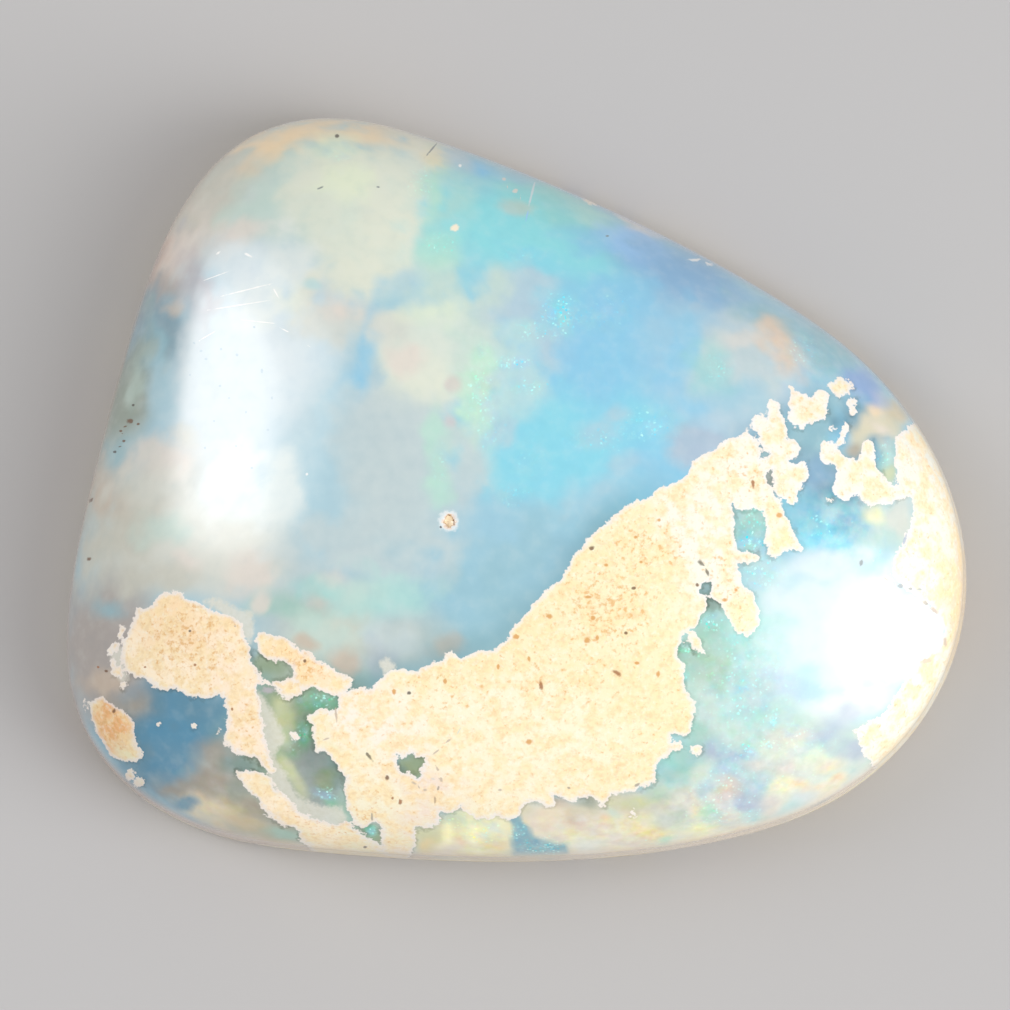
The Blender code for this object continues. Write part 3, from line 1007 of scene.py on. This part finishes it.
# The host rock of the back: how high in the wall it reaches, how much that height waves, and the
# seams of opal left in it, whose half width is a share of their spacing
HOST_TOP = 0.62
HOST_WAVE = 0.22
SEAM_SPACING = 3.4
SEAM_HALF_WIDTH = 0.035
WARM_BACK_TOP = 0.5  # below this height the sandstone turns warmer

# The pit: a small round hollow that the polish left open. Its rings go from the outside in: where
# each starts and is full, in pixels from the middle, and its colour. The grit adds up to PIT_FRAY
# pixels to the distance, and half of that on average
PIT_PX = (449, 521)
PIT_HALF_WIDTH = 0.15
PIT_DEPTH = 0.05
PIT_FRAY = 9.0
PIT_RINGS = (
    (17.0, 12.5, "#DCE2E2"),
    (13.0, 10.6, "#E8D5C4"),
    (11.0, 9.6, "#BC9870"),
    (10.0, 8.4, "#EFD6B0"),
)
OUT_OF_PIT = 99  # a distance well outside the rings

FAR_OUTSIDE = -60.0  # a depth well outside every outline, in pixels
LATTICE = 48  # how many random heights stand along each side of the noise before it repeats


def lumps(places, size, seed, octaves=3):
    """Smooth lumpy noise, mostly from -1 to 1. Random heights stand on a lattice of the given size
    and are blended between its points, and each octave adds a finer, weaker one, turned its own
    way so that no grain shows."""
    total = np.zeros(len(places))
    for octave in range(octaves):
        random = np.random.default_rng(seed + octave)
        heights = random.uniform(-1, 1, (LATTICE,) * 3)
        turned = np.linalg.qr(random.normal(size=(3, 3)))[0]
        scaled = places @ turned / (size / 2**octave)
        cell = np.floor(scaled).astype(int)
        part = scaled - cell
        part = part * part * (3 - 2 * part)
        for corner in np.ndindex(2, 2, 2):
            index = ((cell + corner) % LATTICE).T
            weight = np.prod(np.where(corner, part, 1 - part), axis=1)
            total += 0.5**octave * weight * heights[tuple(index)]
    return total


def strayed(places, points, size, amount, seed):
    """Places moved by lumpy noise, so that edges drawn on them wander. The noise is taken in the
    solid stone, and amount is in pixels."""
    drift = [lumps(points, size, seed + 10 * axis) for axis in (0, 1)]
    return places + amount * np.column_stack(drift)


def soft_step(value, low, high):
    """0 below low, 1 above high, and a smooth rise between."""
    t = np.clip((value - low) / (high - low), 0, 1)
    return t * t * (3 - 2 * t)


def depth_inside(places, corners):
    """How far inside a closed outline each place is, and negative outside: the distance to the
    nearest side, with its sign from how many sides a level line to the right crosses."""
    nearest = np.full(len(places), np.inf)
    inside = np.zeros(len(places), bool)
    start = np.array(corners, float)
    for a, b in zip(start, np.roll(start, -1, axis=0)):
        side = b - a
        offset = places - a
        along = np.clip(offset @ side / (side @ side), 0, 1)
        nearest = np.minimum(nearest, np.hypot(*(offset - along[:, None] * side).T))
        above = (a[1] > places[:, 1]) != (b[1] > places[:, 1])
        if a[1] != b[1]:
            crossing = a[0] + (places[:, 1] - a[1]) * side[0] / side[1]
            inside ^= above & (places[:, 0] < crossing)
    return np.where(inside, nearest, -nearest)


def deepest(places, outlines):
    """How far inside the outline that is deepest there each place is, in pixels."""
    depth = np.full(len(places), FAR_OUTSIDE)
    for corners in outlines.values():
        depth = np.maximum(depth, depth_inside(places, corners))
    return depth


def own_offset(places, u, v, wide, high, turn):
    """Offsets from the middle of a turned ellipse along its two half axes, in their lengths."""
    angle = math.radians(turn)
    offset = places - (u, v)
    along = offset[:, 0] * math.cos(angle) + offset[:, 1] * math.sin(angle)
    beside = -offset[:, 0] * math.sin(angle) + offset[:, 1] * math.cos(angle)
    return np.column_stack([along / wide, beside / high])


def gathered(places, groups, least=0.0):
    """How thickly something gathers at each place: the strongest of the soft ellipses."""
    cover = np.full(len(places), least)
    for u, v, wide, high, strength in groups:
        reach = np.hypot(*own_offset(places, u, v, wide, high, 0).T)
        cover = np.maximum(cover, strength * (1 - soft_step(reach, 0.2, 1.3)))
    return cover


def lay_tone(tint, cover, tone):
    """Moves a tint towards a tone by its cover, from 0 for none to 1 for all the way."""
    tint += cover[:, None] * (linear(TONES[tone]) - tint)


def lay_clouds(tint, places, clouds, ragged, softness, strength):
    """Lays clouds over a tint, one after another. A cloud's cover falls from 1 to 0 about its
    ellipse, which ragged noise moves. The fall takes softness pixels to each side, or in a small
    cloud most of its half height."""
    for *ellipse, tone in clouds:
        edge = min(0.75, softness / min(ellipse[2:4]))
        reach = np.hypot(*own_offset(places, *ellipse).T)
        lay_tone(tint, strength * soft_step(1 - reach + edge * ragged, -edge, edge), tone)


def opal_tint(places, points):
    """The milky body's colour, each layer laid over what is there: broad washes, curdled clouds,
    small flakes, spots of purer colour where flashes gather, the blue window, faint glows, and
    the thin skin at the widest line, whose rose and apricot tones are a painted warm reflection."""
    tint = np.tile(linear(BODY_COLOUR), (len(places), 1))
    broad = strayed(places, points, size=2.4, amount=22, seed=11)
    near = strayed(places, points, size=0.8, amount=5, seed=31)
    billow = 0.5 * lumps(points, size=1.2, seed=71)
    curdle = 0.9 * lumps(points, size=0.5, seed=81, octaves=4)
    lay_clouds(tint, broad, WASHES, billow, softness=40, strength=1.0)
    lay_clouds(tint, near, CLOUDS, curdle, softness=16, strength=0.82)
    lay_clouds(tint, near, FLAKES, 0.6 * curdle, softness=6, strength=0.75)
    fire = 0.34 * gathered(places, FLASHES)
    for seed, tone in FLASH_SPOTS:
        lay_tone(tint, fire * soft_step(lumps(points, FLASH_SPOT_SIZE, seed), 0.1, 0.6), tone)
    lay_tone(tint, 0.9 * soft_step(depth_inside(near, BLUE_WINDOW), -3, 3), "shore")
    lay_clouds(tint, near, GLOWS, curdle, softness=16, strength=0.5)
    skin = tint.copy()
    # the rim's tones, with their painted warm reflection
    lay_clouds(skin, broad, RIM_TONES_AND_WARM_REFLECTION, curdle, softness=25, strength=0.9)
    thin = soft_step(GIRDLE_HEIGHT + RIM_SKIN_TOP - points[:, 2], 0, RIM_SKIN_FADE)
    return tint + thin[:, None] * (skin - tint)


def patch_depth(places):
    """How deep inside the sandstone's drawn patches each place is, in pixels: the patches less
    their gaps."""
    return np.minimum(deepest(places, SAND_PATCHES), -deepest(places, SAND_GAPS))


def crumb_depth(places):
    """How deep inside a loose crumb each place is, in pixels."""
    depth = np.full(len(places), FAR_OUTSIDE)
    for u, v, half in CRUMBS:
        depth = np.maximum(depth, half - np.hypot(*(places - (u, v)).T))
    return depth


def host_depth(points):
    """How deep inside the host rock each point is, in pixels: it lies below a wavy contact low in
    the wall, and thin seams of opal stay in it where lumpy noise is near 0."""
    contact = HOST_TOP + HOST_WAVE * lumps(points, size=2.2, seed=111, octaves=4)
    seams = np.abs(lumps(points, size=SEAM_SPACING, seed=121, octaves=4)) - SEAM_HALF_WIDTH
    return PX_PER_MM * np.minimum(contact - points[:, 2], seams * SEAM_SPACING)


def sandstone_depth(places, points):
    """How deep inside sandstone each point is, in pixels, and negative in opal: the drawn patches
    with ragged lobes, the crumbs, and the host rock."""
    ragged = strayed(places, points, size=0.5, amount=1.8, seed=71)
    lobes = 3.0 * lumps(points, size=0.24, seed=91)
    crumbs = crumb_depth(strayed(places, points, size=0.12, amount=2.0, seed=151))
    patches = np.maximum(patch_depth(ragged) + lobes, crumbs)
    return np.maximum(patches, host_depth(points))


def chalk_depth(places, points):
    """How deep inside the chalky, translucent bars each point is, in pixels."""
    return deepest(strayed(places, points, size=0.3, amount=2.5, seed=131), CHALK)


def sand_tint(places, points):
    """The sandstone's colour: its ground under its washes, which are rusty to the left, ivory in
    the band and bone at the right end, and warmer again towards the back."""
    tint = np.tile(linear(TONES["sand"]), (len(places), 1))
    broad = strayed(places, points, size=0.8, amount=8, seed=181)
    ragged = lumps(points, size=0.5, seed=191)
    lay_clouds(tint, broad, SAND_WASHES, ragged, softness=20, strength=1.0)
    lay_tone(tint, 0.6 * soft_step(WARM_BACK_TOP - points[:, 2], 0, 0.4), "warm sand")
    return tint


# How far past a mark's edge its own offsets are still kept, and what stands for out of reach
MARK_REACH = 7.0
OUT_OF_REACH = 9.0


def nearest_mark(places):
    """The offsets to the nearest mark along its half axes, and its tone. A third offset is 0 near
    the mark and large elsewhere, so that nothing shows between two marks."""
    nearest = np.full(len(places), np.inf)
    second = nearest
    offset = np.zeros((len(places), 3))
    tint = np.zeros((len(places), 3))
    for u, v, long, wide, turn, tone in MARKS:
        own = own_offset(places, u, v, long, wide, turn)
        past_end = np.maximum(np.abs(own[:, 0]) * long - max(long - wide, 0), 0)
        away = np.hypot(past_end, own[:, 1] * wide) - wide
        closer = away < nearest
        before = nearest
        nearest = np.where(closer, away, nearest)
        offset[closer, :2] = own[closer]
        tint[closer] = linear(TONES[tone])
        second = np.where(closer, before, np.minimum(second, away))
    offset[:, 2] = 3 * (1 - soft_step(second - nearest, 1, 4))
    offset[nearest > MARK_REACH] = (0, 0, OUT_OF_REACH)
    return offset, tint


def painted_lee_shade(places):
    """Painted shade: how dark the sandstone's edge looks through the opal beside it, falling like
    a
    shadow on the side down and to the right: faint where the sandstone lies up and to the left,
    by how much the depth falls over 3 pixels down and to the right, and more where the opal is
    darker all round the edge."""
    here, beyond = (
        np.maximum(patch_depth(p), crumb_depth(p)) for p in (places, places + 3.0)
    )
    return np.maximum(0.55 * soft_step(here - beyond, -1.0, 2.5), gathered(places, DARKER_POCKETS))


def band_shade(places, points):
    """How much the sandstone darkens the opal over it, where the band runs on down under its
    upper left edge: strongest at the edge, gone 1 mm away, and only left of and above a slanting
    line through the band's foot."""
    out = -depth_inside(places, SAND_PATCHES["band"])
    near = 1 - soft_step(out + 8 * lumps(points, size=1.2, seed=171, octaves=2), -8, 50)
    right, down = (places - BAND_FOOT_PX).T
    left_above = soft_step(-right - 1.25 * down, -40, 120)
    return near**2 * left_above * (1 - soft_step(places[:, 0], *BAND_SHADE_END_PX))


def sink_pit(points, places):
    """Lowers the dome into a round bowl at the pit: the depth falls off as one less the square
    of the distance, squared."""
    away = np.hypot(*(places - PIT_PX).T) / PX_PER_MM / PIT_HALF_WIDTH
    bowl = np.clip(1 - away**2, 0, 1) ** 2
    points[:, 2] -= PIT_DEPTH * bowl * (points[:, 2] > GIRDLE_HEIGHT)


def store(mesh, name, kind, values):
    """Stores values, one for each point, as an attribute that the material reads."""
    field = {"FLOAT": "value", "FLOAT_VECTOR": "vector", "FLOAT_COLOR": "color"}[kind]
    if kind == "FLOAT_COLOR":
        values = np.column_stack([values, np.ones(len(values))])
    layer = mesh.attributes.new(name, kind, "POINT")
    layer.data.foreach_set(field, values.astype(np.float32).ravel())


def make_stone():
    """The stone's mesh, with its markings as attributes of its points."""
    points, faces = stone_grid()
    places = seen_px(points)
    sink_pit(points, places)
    mesh = bpy.data.meshes.new("opal_cabochon")
    mesh.from_pydata((points * MM).tolist(), [], faces)
    mesh.shade_smooth()

    # Marks and the pit are on the dome alone: none is carried down the wall or to the back
    below_dome = points[:, 2] < GIRDLE_HEIGHT
    mark_offset, mark_tint = nearest_mark(places)
    mark_offset[below_dome] = (0, 0, OUT_OF_REACH)
    pit_offset = np.column_stack([places - PIT_PX, np.zeros(len(places))])
    pit_offset[below_dome] = (0, 0, OUT_OF_PIT)
    store(mesh, "opal_tint", "FLOAT_COLOR", opal_tint(places, points))
    store(mesh, "sand_tint", "FLOAT_COLOR", sand_tint(places, points))
    store(mesh, "mark_tint", "FLOAT_COLOR", mark_tint)
    store(mesh, "mark_offset", "FLOAT_VECTOR", mark_offset)
    store(mesh, "pit_offset", "FLOAT_VECTOR", pit_offset)
    store(mesh, "sand_depth", "FLOAT", sandstone_depth(places, points))
    store(mesh, "chalk_depth", "FLOAT", chalk_depth(places, points))
    store(mesh, "flash_cover", "FLOAT", gathered(places, FLASHES))
    store(mesh, "patch_cover", "FLOAT", gathered(places, MOSAIC))
    store(mesh, "rust_cover", "FLOAT", gathered(places, RUST, least=0.1))
    # painted shade down and to the right of the sandstone, and in the darker pockets
    store(mesh, "painted_lee_shade", "FLOAT", painted_lee_shade(places))
    store(mesh, "band_shade", "FLOAT", band_shade(places, points))
    stone = bpy.data.objects.new("opal_cabochon", mesh)
    bpy.context.scene.collection.objects.link(stone)
    return stone


# Materials

# Grain sizes in millimetres, and how far the grit bends what is drawn on it
GRIT = 0.1
CURD = 0.3
PATCH = 0.22
FLASH = 0.05
BEND = 0.08
GRAIN_RELIEF = 0.02

# Sockets by number, because their names repeat: a Mix node's amount, two colours and result, and
# a Map Range node's value, where its rise starts and ends, and what it rises from and to
AMOUNT, UNDER, OVER, MIXED = 0, 6, 7, 2
VALUE, START, END, LOW, HIGH = range(5)
COLOURS = {"data_type": "RGBA"}
DARKEN = {"data_type": "RGBA", "blend_type": "MULTIPLY"}
SOFT = {"interpolation_type": "SMOOTHSTEP"}


def add_node(tree, kind, inputs, output=0, **settings):
    """Adds a node with its settings and links, and gives one of its outputs. Each input is a
    value, or another node's output."""
    node = tree.nodes.new("ShaderNode" + kind)
    for name, value in settings.items():
        setattr(node, name, value)
    for name, value in inputs.items():
        if isinstance(value, bpy.types.NodeSocket):
            tree.links.new(value, node.inputs[name])
        else:
            node.inputs[name].default_value = value
    return node.outputs[output]


def rgba(code):
    """An sRGB hex colour as a colour socket takes it: linear, and opaque."""
    return (*linear(code), 1.0)


def opal_body(tree, in_mm, speck, grit, curd):
    """Common opal: silica too fine to see, which scatters blue and lets warm light through. The
    eye sees a milky pastel body, curdled by its grain, with pinpoint flashes of pure colour."""
    tint = add_node(tree, "Attribute", {}, "Color", attribute_name="opal_tint")

    # Curdled mottling, too faint to have edges, and the shade of the sandstone beside the band
    pale = add_node(tree, "MapRange", {VALUE: curd, START: 0.45, END: 0.8, HIGH: 0.09}, **SOFT)
    dark = add_node(tree, "MapRange", {VALUE: curd, START: 0.55, END: 0.2, HIGH: 0.14}, **SOFT)
    shade = add_node(tree, "Attribute", {}, "Fac", attribute_name="band_shade")
    for cover, code, way in (
        (pale, "#E3E7DF", COLOURS),
        (dark, "#CFE0EA", DARKEN),
        (shade, "#CCD6D6", DARKEN),
    ):
        tint = add_node(
            tree, "Mix", {AMOUNT: cover, UNDER: tint, OVER: rgba(code)}, MIXED, **way
        )

    # Patches: the silica's stacking changes from one grain to the next, and the hue with it
    bent = add_node(
        tree, "VectorMath", {0: speck, 1: (BEND,) * 3, 2: in_mm}, operation="MULTIPLY_ADD"
    )
    patch = add_node(
        tree, "TexNoise", {"Vector": bent, "Scale": 1 / PATCH, "Detail": 2.0}, "Color"
    )
    patch = add_node(tree, "SeparateColor", {"Color": patch}).node.outputs
    change = {"Color": tint}
    for name, channel, low, high in (
        ("Hue", "Red", 0.47, 0.53),
        ("Saturation", "Green", 0.7, 1.3),
        ("Value", "Blue", 0.94, 1.07),
    ):
        reach = {VALUE: patch[channel], START: 0.35, END: 0.65, LOW: low, HIGH: high}
        change[name] = add_node(tree, "MapRange", reach)
    patchy = add_node(tree, "HueSaturation", change, "Color")
    cover = add_node(tree, "Attribute", {}, "Fac", attribute_name="patch_cover")
    tint = add_node(tree, "Mix", {AMOUNT: cover, UNDER: tint, OVER: patchy}, MIXED, **COLOURS)

    # Flashes are purer and brighter than the body round them: a frosty glitter of the grit's
    # size, and over it cells 0.05 mm wide, of which one in a few is lit
    near = add_node(tree, "TexVoronoi", {"Vector": bent, "Scale": 1 / FLASH}, "Distance")
    lot = add_node(tree, "SeparateColor", {"Color": near.node.outputs["Color"]}).node.outputs
    cover = add_node(tree, "Attribute", {}, "Fac", attribute_name="flash_cover")
    pure = add_node(
        tree, "HueSaturation", {"Color": tint, "Saturation": 2.0, "Value": 1.35}, "Color"
    )
    hue = add_node(
        tree,
        "Mix",
        {AMOUNT: lot["Green"], UNDER: pure, OVER: rgba("#C4FBF2")},
        MIXED,
        **COLOURS,
    )
    frost = {VALUE: grit["Green"], START: 0.5, END: 0.75, HIGH: 0.45}
    frost = add_node(tree, "MapRange", frost, **SOFT)
    frost = add_node(tree, "Math", {0: frost, 1: cover}, operation="MULTIPLY")
    tint = add_node(tree, "Mix", {AMOUNT: frost, UNDER: tint, OVER: hue}, MIXED, **COLOURS)
    chance = add_node(
        tree, "Math", {0: cover, 1: 0.42, 2: lot["Red"]}, operation="MULTIPLY_ADD"
    )
    lit = add_node(tree, "MapRange", {VALUE: chance, START: 1.0, END: 1.25}, **SOFT)
    dot = add_node(tree, "MapRange", {VALUE: near, START: 0.8, END: 0.2}, **SOFT)
    flash = add_node(tree, "Math", {0: lit, 1: dot}, operation="MULTIPLY")
    return add_node(tree, "Mix", {AMOUNT: flash, UNDER: tint, OVER: hue}, MIXED, **COLOURS)


def sandstone(tree, grit, curd, depth):
    """Fine cream sandstone: quartz grains in clay, stained by iron. The eye sees a matt cream
    ground with tan and pale grains of 0.05 to 0.1 mm, bleached where it meets the opal."""
    clay = add_node(tree, "Math", {0: curd, 1: 0.5, 2: grit["Blue"]}, operation="MULTIPLY_ADD")
    iron = add_node(tree, "Attribute", {}, "Fac", attribute_name="rust_cover")
    iron = add_node(tree, "Math", {0: iron, 1: 0.15, 2: grit["Red"]}, operation="MULTIPLY_ADD")
    tint = add_node(tree, "Attribute", {}, "Color", attribute_name="sand_tint")

    # Yellow stain, pale quartz, tan clay, rusty grains, and the bleached edge
    for value, start, end, most, code in (
        (curd, 0.4, 0.62, 0.65, "#FAE0AB"),
        (grit["Green"], 0.46, 0.8, 0.6, "#F8F2E0"),
        (clay, 0.68, 1.05, 0.6, "#E8C898"),
        (iron, 0.6, 0.84, 0.8, "#E0AC6A"),
        (depth, 6.0, 0.0, 0.75, "#EAE5E4"),
    ):
        reach = {VALUE: value, START: start, END: end, HIGH: most}
        cover = add_node(tree, "MapRange", reach, **SOFT)
        tint = add_node(
            tree, "Mix", {AMOUNT: cover, UNDER: tint, OVER: rgba(code)}, MIXED, **COLOURS
        )
    return tint


def seam_and_painted_shade(tree, opal, depth, curd):
    """The opal with a thin dark seam along the sandstone: painted shade down and to the right of
    it, and darker all round in the pockets. It starts 4.5 pixels out and is full 1 pixel out, as
    far as the lee shade goes, and curds break it up."""
    lee = add_node(tree, "Attribute", {}, "Fac", attribute_name="painted_lee_shade")
    seam = add_node(tree, "MapRange", {VALUE: depth, START: -4.5, END: -1.0, HIGH: 0.85}, **SOFT)
    broken = add_node(tree, "MapRange", {VALUE: curd, START: 0.4, END: 0.62, LOW: 0.2}, **SOFT)
    for share in (lee, broken):
        seam = add_node(tree, "Math", {0: seam, 1: share}, operation="MULTIPLY")
    # painted shade: the seam's dark tone
    return add_node(
        tree, "Mix", {AMOUNT: seam, UNDER: opal, OVER: rgba("#A09F90")}, MIXED, **DARKEN
    )


def chalky_bars(tree, opal, grit, fray):
    """Chalky bars over the opal, where it has half replaced the sandstone. The eye sees a dull
    greyish cream that mixes two tones by the grit, with soft frayed edges."""
    chalk = add_node(tree, "Attribute", {}, "Fac", attribute_name="chalk_depth")
    chalk = add_node(tree, "Math", {0: chalk, 1: fray})
    chalk = add_node(tree, "MapRange", {VALUE: chalk, START: -2.0, END: 4.0, HIGH: 0.8}, **SOFT)
    ground = add_node(
        tree,
        "Mix",
        {AMOUNT: grit["Green"], UNDER: rgba("#CFCBB6"), OVER: rgba("#E6E4DA")},
        MIXED,
        **COLOURS,
    )
    return add_node(tree, "Mix", {AMOUNT: chalk, UNDER: opal, OVER: ground}, MIXED, **COLOURS)


def pit_rings(tree, colour, grit):
    """The pit's rings over the colour, from the outside in, by the distance from its middle. The
    grit adds to the distance and so frays them."""
    offset = add_node(tree, "Attribute", {}, "Vector", attribute_name="pit_offset")
    away = add_node(tree, "VectorMath", {0: offset}, "Value", operation="LENGTH")
    away = add_node(
        tree, "Math", {0: grit["Blue"], 1: PIT_FRAY, 2: away}, operation="MULTIPLY_ADD"
    )
    for outer, inner, code in PIT_RINGS:
        ring = add_node(tree, "MapRange", {VALUE: away, START: outer, END: inner}, **SOFT)
        colour = add_node(
            tree, "Mix", {AMOUNT: ring, UNDER: colour, OVER: rgba(code)}, MIXED, **COLOURS
        )
    return colour


def single_marks(tree, colour, grit):
    """Single grains, cracks and scratches over the colour: where the length of the offset and 1.4
    of the grit, which is 0.7 on average, come to less than about 1.6."""
    offset = add_node(tree, "Attribute", {}, "Vector", attribute_name="mark_offset")
    away = add_node(tree, "VectorMath", {0: offset}, "Value", operation="LENGTH")
    away = add_node(tree, "Math", {0: grit["Red"], 1: 1.4, 2: away}, operation="MULTIPLY_ADD")
    cover = add_node(tree, "MapRange", {VALUE: away, START: 1.95, END: 1.2, HIGH: 0.85}, **SOFT)
    mark = add_node(tree, "Attribute", {}, "Color", attribute_name="mark_tint")
    return add_node(tree, "Mix", {AMOUNT: cover, UNDER: colour, OVER: mark}, MIXED, **COLOURS)


def polish(tree, shader, in_mm, is_sand, grit):
    """The skin that polishing leaves: glassy on opal, a little open between the sandstone's
    grains, and lapped matt on the back."""
    height = add_node(tree, "SeparateXYZ", {"Vector": in_mm}, "Z")
    matt = add_node(tree, "MapRange", {VALUE: height, START: 0.45, END: 0.1, HIGH: 0.3}, **SOFT)
    rough = add_node(tree, "MapRange", {VALUE: is_sand, LOW: 0.2, HIGH: 0.35})
    rough = add_node(tree, "Math", {0: rough, 1: matt})
    tree.links.new(rough, shader.inputs["Roughness"])
    relief = add_node(tree, "Math", {0: grit["Red"], 1: is_sand}, operation="MULTIPLY")
    relief = {"Height": relief, "Strength": 0.2, "Distance": GRAIN_RELIEF * MM}
    tree.links.new(add_node(tree, "Bump", relief), shader.inputs["Normal"])
    shader.inputs["IOR"].default_value = 1.45
    shader.inputs["Coat Weight"].default_value = 0.9
    shader.inputs["Coat Roughness"].default_value = 0.12
    shader.inputs["Coat IOR"].default_value = 1.45


def polished_opal():
    """Boulder opal: opal grown through its sandstone host, cut and polished to one skin. The eye
    sees glass over a soft milky depth, and crisp grainy stone where the host comes through."""
    material = bpy.data.materials.new("polished_opal_in_sandstone")
    material.use_nodes = True
    tree = material.node_tree
    shader = tree.nodes["Principled BSDF"]

    # Grit of 0.1 mm and finer, near the size of the sandstone's grains, and curds of 0.3 mm
    where = add_node(tree, "TexCoord", {}, "Object")
    in_mm = add_node(tree, "VectorMath", {0: where, "Scale": 1 / MM}, operation="SCALE")
    speck = {"Vector": in_mm, "Scale": 1 / GRIT, "Detail": 2.0, "Roughness": 0.65}
    speck = add_node(tree, "TexNoise", speck, "Color")
    grit = add_node(tree, "SeparateColor", {"Color": speck}).node.outputs
    curd = add_node(tree, "TexNoise", {"Vector": in_mm, "Scale": 1 / CURD, "Detail": 2.0})

    # The grit frays the sandstone's edge by up to 4 pixels each way
    fray = add_node(tree, "MapRange", {VALUE: grit["Blue"], LOW: -4.0, HIGH: 4.0})
    depth = add_node(tree, "Attribute", {}, "Fac", attribute_name="sand_depth")
    depth = add_node(tree, "Math", {0: depth, 1: fray})
    is_sand = add_node(tree, "MapRange", {VALUE: depth, START: -0.7, END: 0.7}, **SOFT)

    # the opal with its seam and painted shade beside the sandstone
    opal = seam_and_painted_shade(tree, opal_body(tree, in_mm, speck, grit, curd), depth, curd)
    opal = chalky_bars(tree, opal, grit, fray)
    sand = sandstone(tree, grit, curd, depth)
    colour = add_node(tree, "Mix", {AMOUNT: is_sand, UNDER: opal, OVER: sand}, MIXED, **COLOURS)
    colour = single_marks(tree, pit_rings(tree, colour, grit), grit)
    tree.links.new(colour, shader.inputs["Base Color"])
    polish(tree, shader, in_mm, is_sand, grit)
    return material


# Stage

FLOOR_SIZE = 600.0
FLOOR_COLOUR = "#B6B4B3"
ROOM_COLOUR = "#F2F3F5"
ROOM_BRIGHTNESS = 0.655
SOFTBOX_DISTANCE = 300.0

# Each softbox: the direction it stands in, its turn in degrees, its width and height as shares
# of its distance, and its brightness
SOFTBOXES = {
    "left_softbox": ((-0.697, 0.350, 0.626), -20, 1.08, 0.38, 2.1),
    "left_softbox_middle": ((-0.738, 0.275, 0.616), -23, 0.80, 0.20, 3.7),
    "right_softbox": ((0.829, -0.320, 0.459), -15, 1.46, 0.85, 2.6),
    "right_softbox_middle": ((0.888, -0.284, 0.362), -9, 1.00, 0.56, 2.8),
}


def make_floor():
    """A flat sheet of pale matt card, far wider than the stone."""
    half = FLOOR_SIZE / 2 * MM
    mesh = bpy.data.meshes.new("floor")
    corners = [(-half, -half, 0), (half, -half, 0), (half, half, 0), (-half, half, 0)]
    mesh.from_pydata(corners, [], [(0, 1, 2, 3)])
    floor = bpy.data.objects.new("floor", mesh)
    material = bpy.data.materials.new("matt_card")
    material.use_nodes = True
    shader = material.node_tree.nodes["Principled BSDF"]
    shader.inputs["Base Color"].default_value = rgba(FLOOR_COLOUR)
    shader.inputs["Roughness"].default_value = 0.9
    mesh.materials.append(material)
    bpy.context.scene.collection.objects.link(floor)


def add_softbox(name, direction, turn, width, height, brightness):
    """An oval softbox that faces the stone from a direction, turned about its own axis. Its width
    and height are shares of its distance. Brightness is its face's radiance, so that its size can
    change without changing its reflection: a matt face gives off pi times its radiance, and an
    oval's area is pi / 4 of its width times its height."""
    light = bpy.data.lights.new(name, "AREA")
    light.shape = "ELLIPSE"
    light.size = width * SOFTBOX_DISTANCE * MM
    light.size_y = height * SOFTBOX_DISTANCE * MM
    light.energy = brightness * math.pi * math.pi / 4 * light.size * light.size_y
    lamp = bpy.data.objects.new(name, light)
    back = np.array(direction, float)
    back /= np.linalg.norm(back)
    up = np.array([0.0, 1.0, 0.0])
    up -= up.dot(back) * back
    up /= np.linalg.norm(up)
    right = np.cross(up, back)
    angle = math.radians(turn)
    place = np.eye(4)
    place[:3, 0] = math.cos(angle) * right + math.sin(angle) * up
    place[:3, 1] = math.cos(angle) * up - math.sin(angle) * right
    place[:3, 2] = back
    place[:3, 3] = back * SOFTBOX_DISTANCE * MM
    lamp.matrix_world = Matrix(place.tolist())
    lamp.visible_camera = False
    bpy.context.scene.collection.objects.link(lamp)


def make_light():
    """Two softboxes, whose reflections are the two highlights on the dome, and a pale room. Each
    softbox is one cloth with a second, smaller one behind it that makes its middle brighter."""
    for name, setting in SOFTBOXES.items():
        add_softbox(name, *setting)
    world = bpy.data.worlds.new("studio")
    world.use_nodes = True
    background = world.node_tree.nodes["Background"]
    background.inputs["Color"].default_value = rgba(ROOM_COLOUR)
    background.inputs["Strength"].default_value = ROOM_BRIGHTNESS
    bpy.context.scene.world = world


def make_camera():
    """A long lens from nearly overhead, so the dome shows as the photograph has it."""
    data = bpy.data.cameras.new("camera")
    data.lens = LENS
    data.sensor_width = SENSOR
    data.clip_start = 0.01
    data.clip_end = 10.0
    camera = bpy.data.objects.new("camera", data)
    right, up, back = camera_axes()
    place = np.eye(4)
    place[:3, 0], place[:3, 1], place[:3, 2] = right, up, back
    place[:3, 3] = camera_place() * MM
    camera.matrix_world = Matrix(place.tolist())
    bpy.context.scene.collection.objects.link(camera)
    bpy.context.scene.camera = camera


def main():
    """The stone on its floor, lit and seen, with the plain view transform that keeps each tone
    as it is written."""
    make_camera()
    make_light()
    make_floor()
    stone = make_stone()
    stone.data.materials.append(polished_opal())
    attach(stone, "root")
    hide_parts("stone")
    bpy.context.scene.view_settings.view_transform = "Standard"


main()
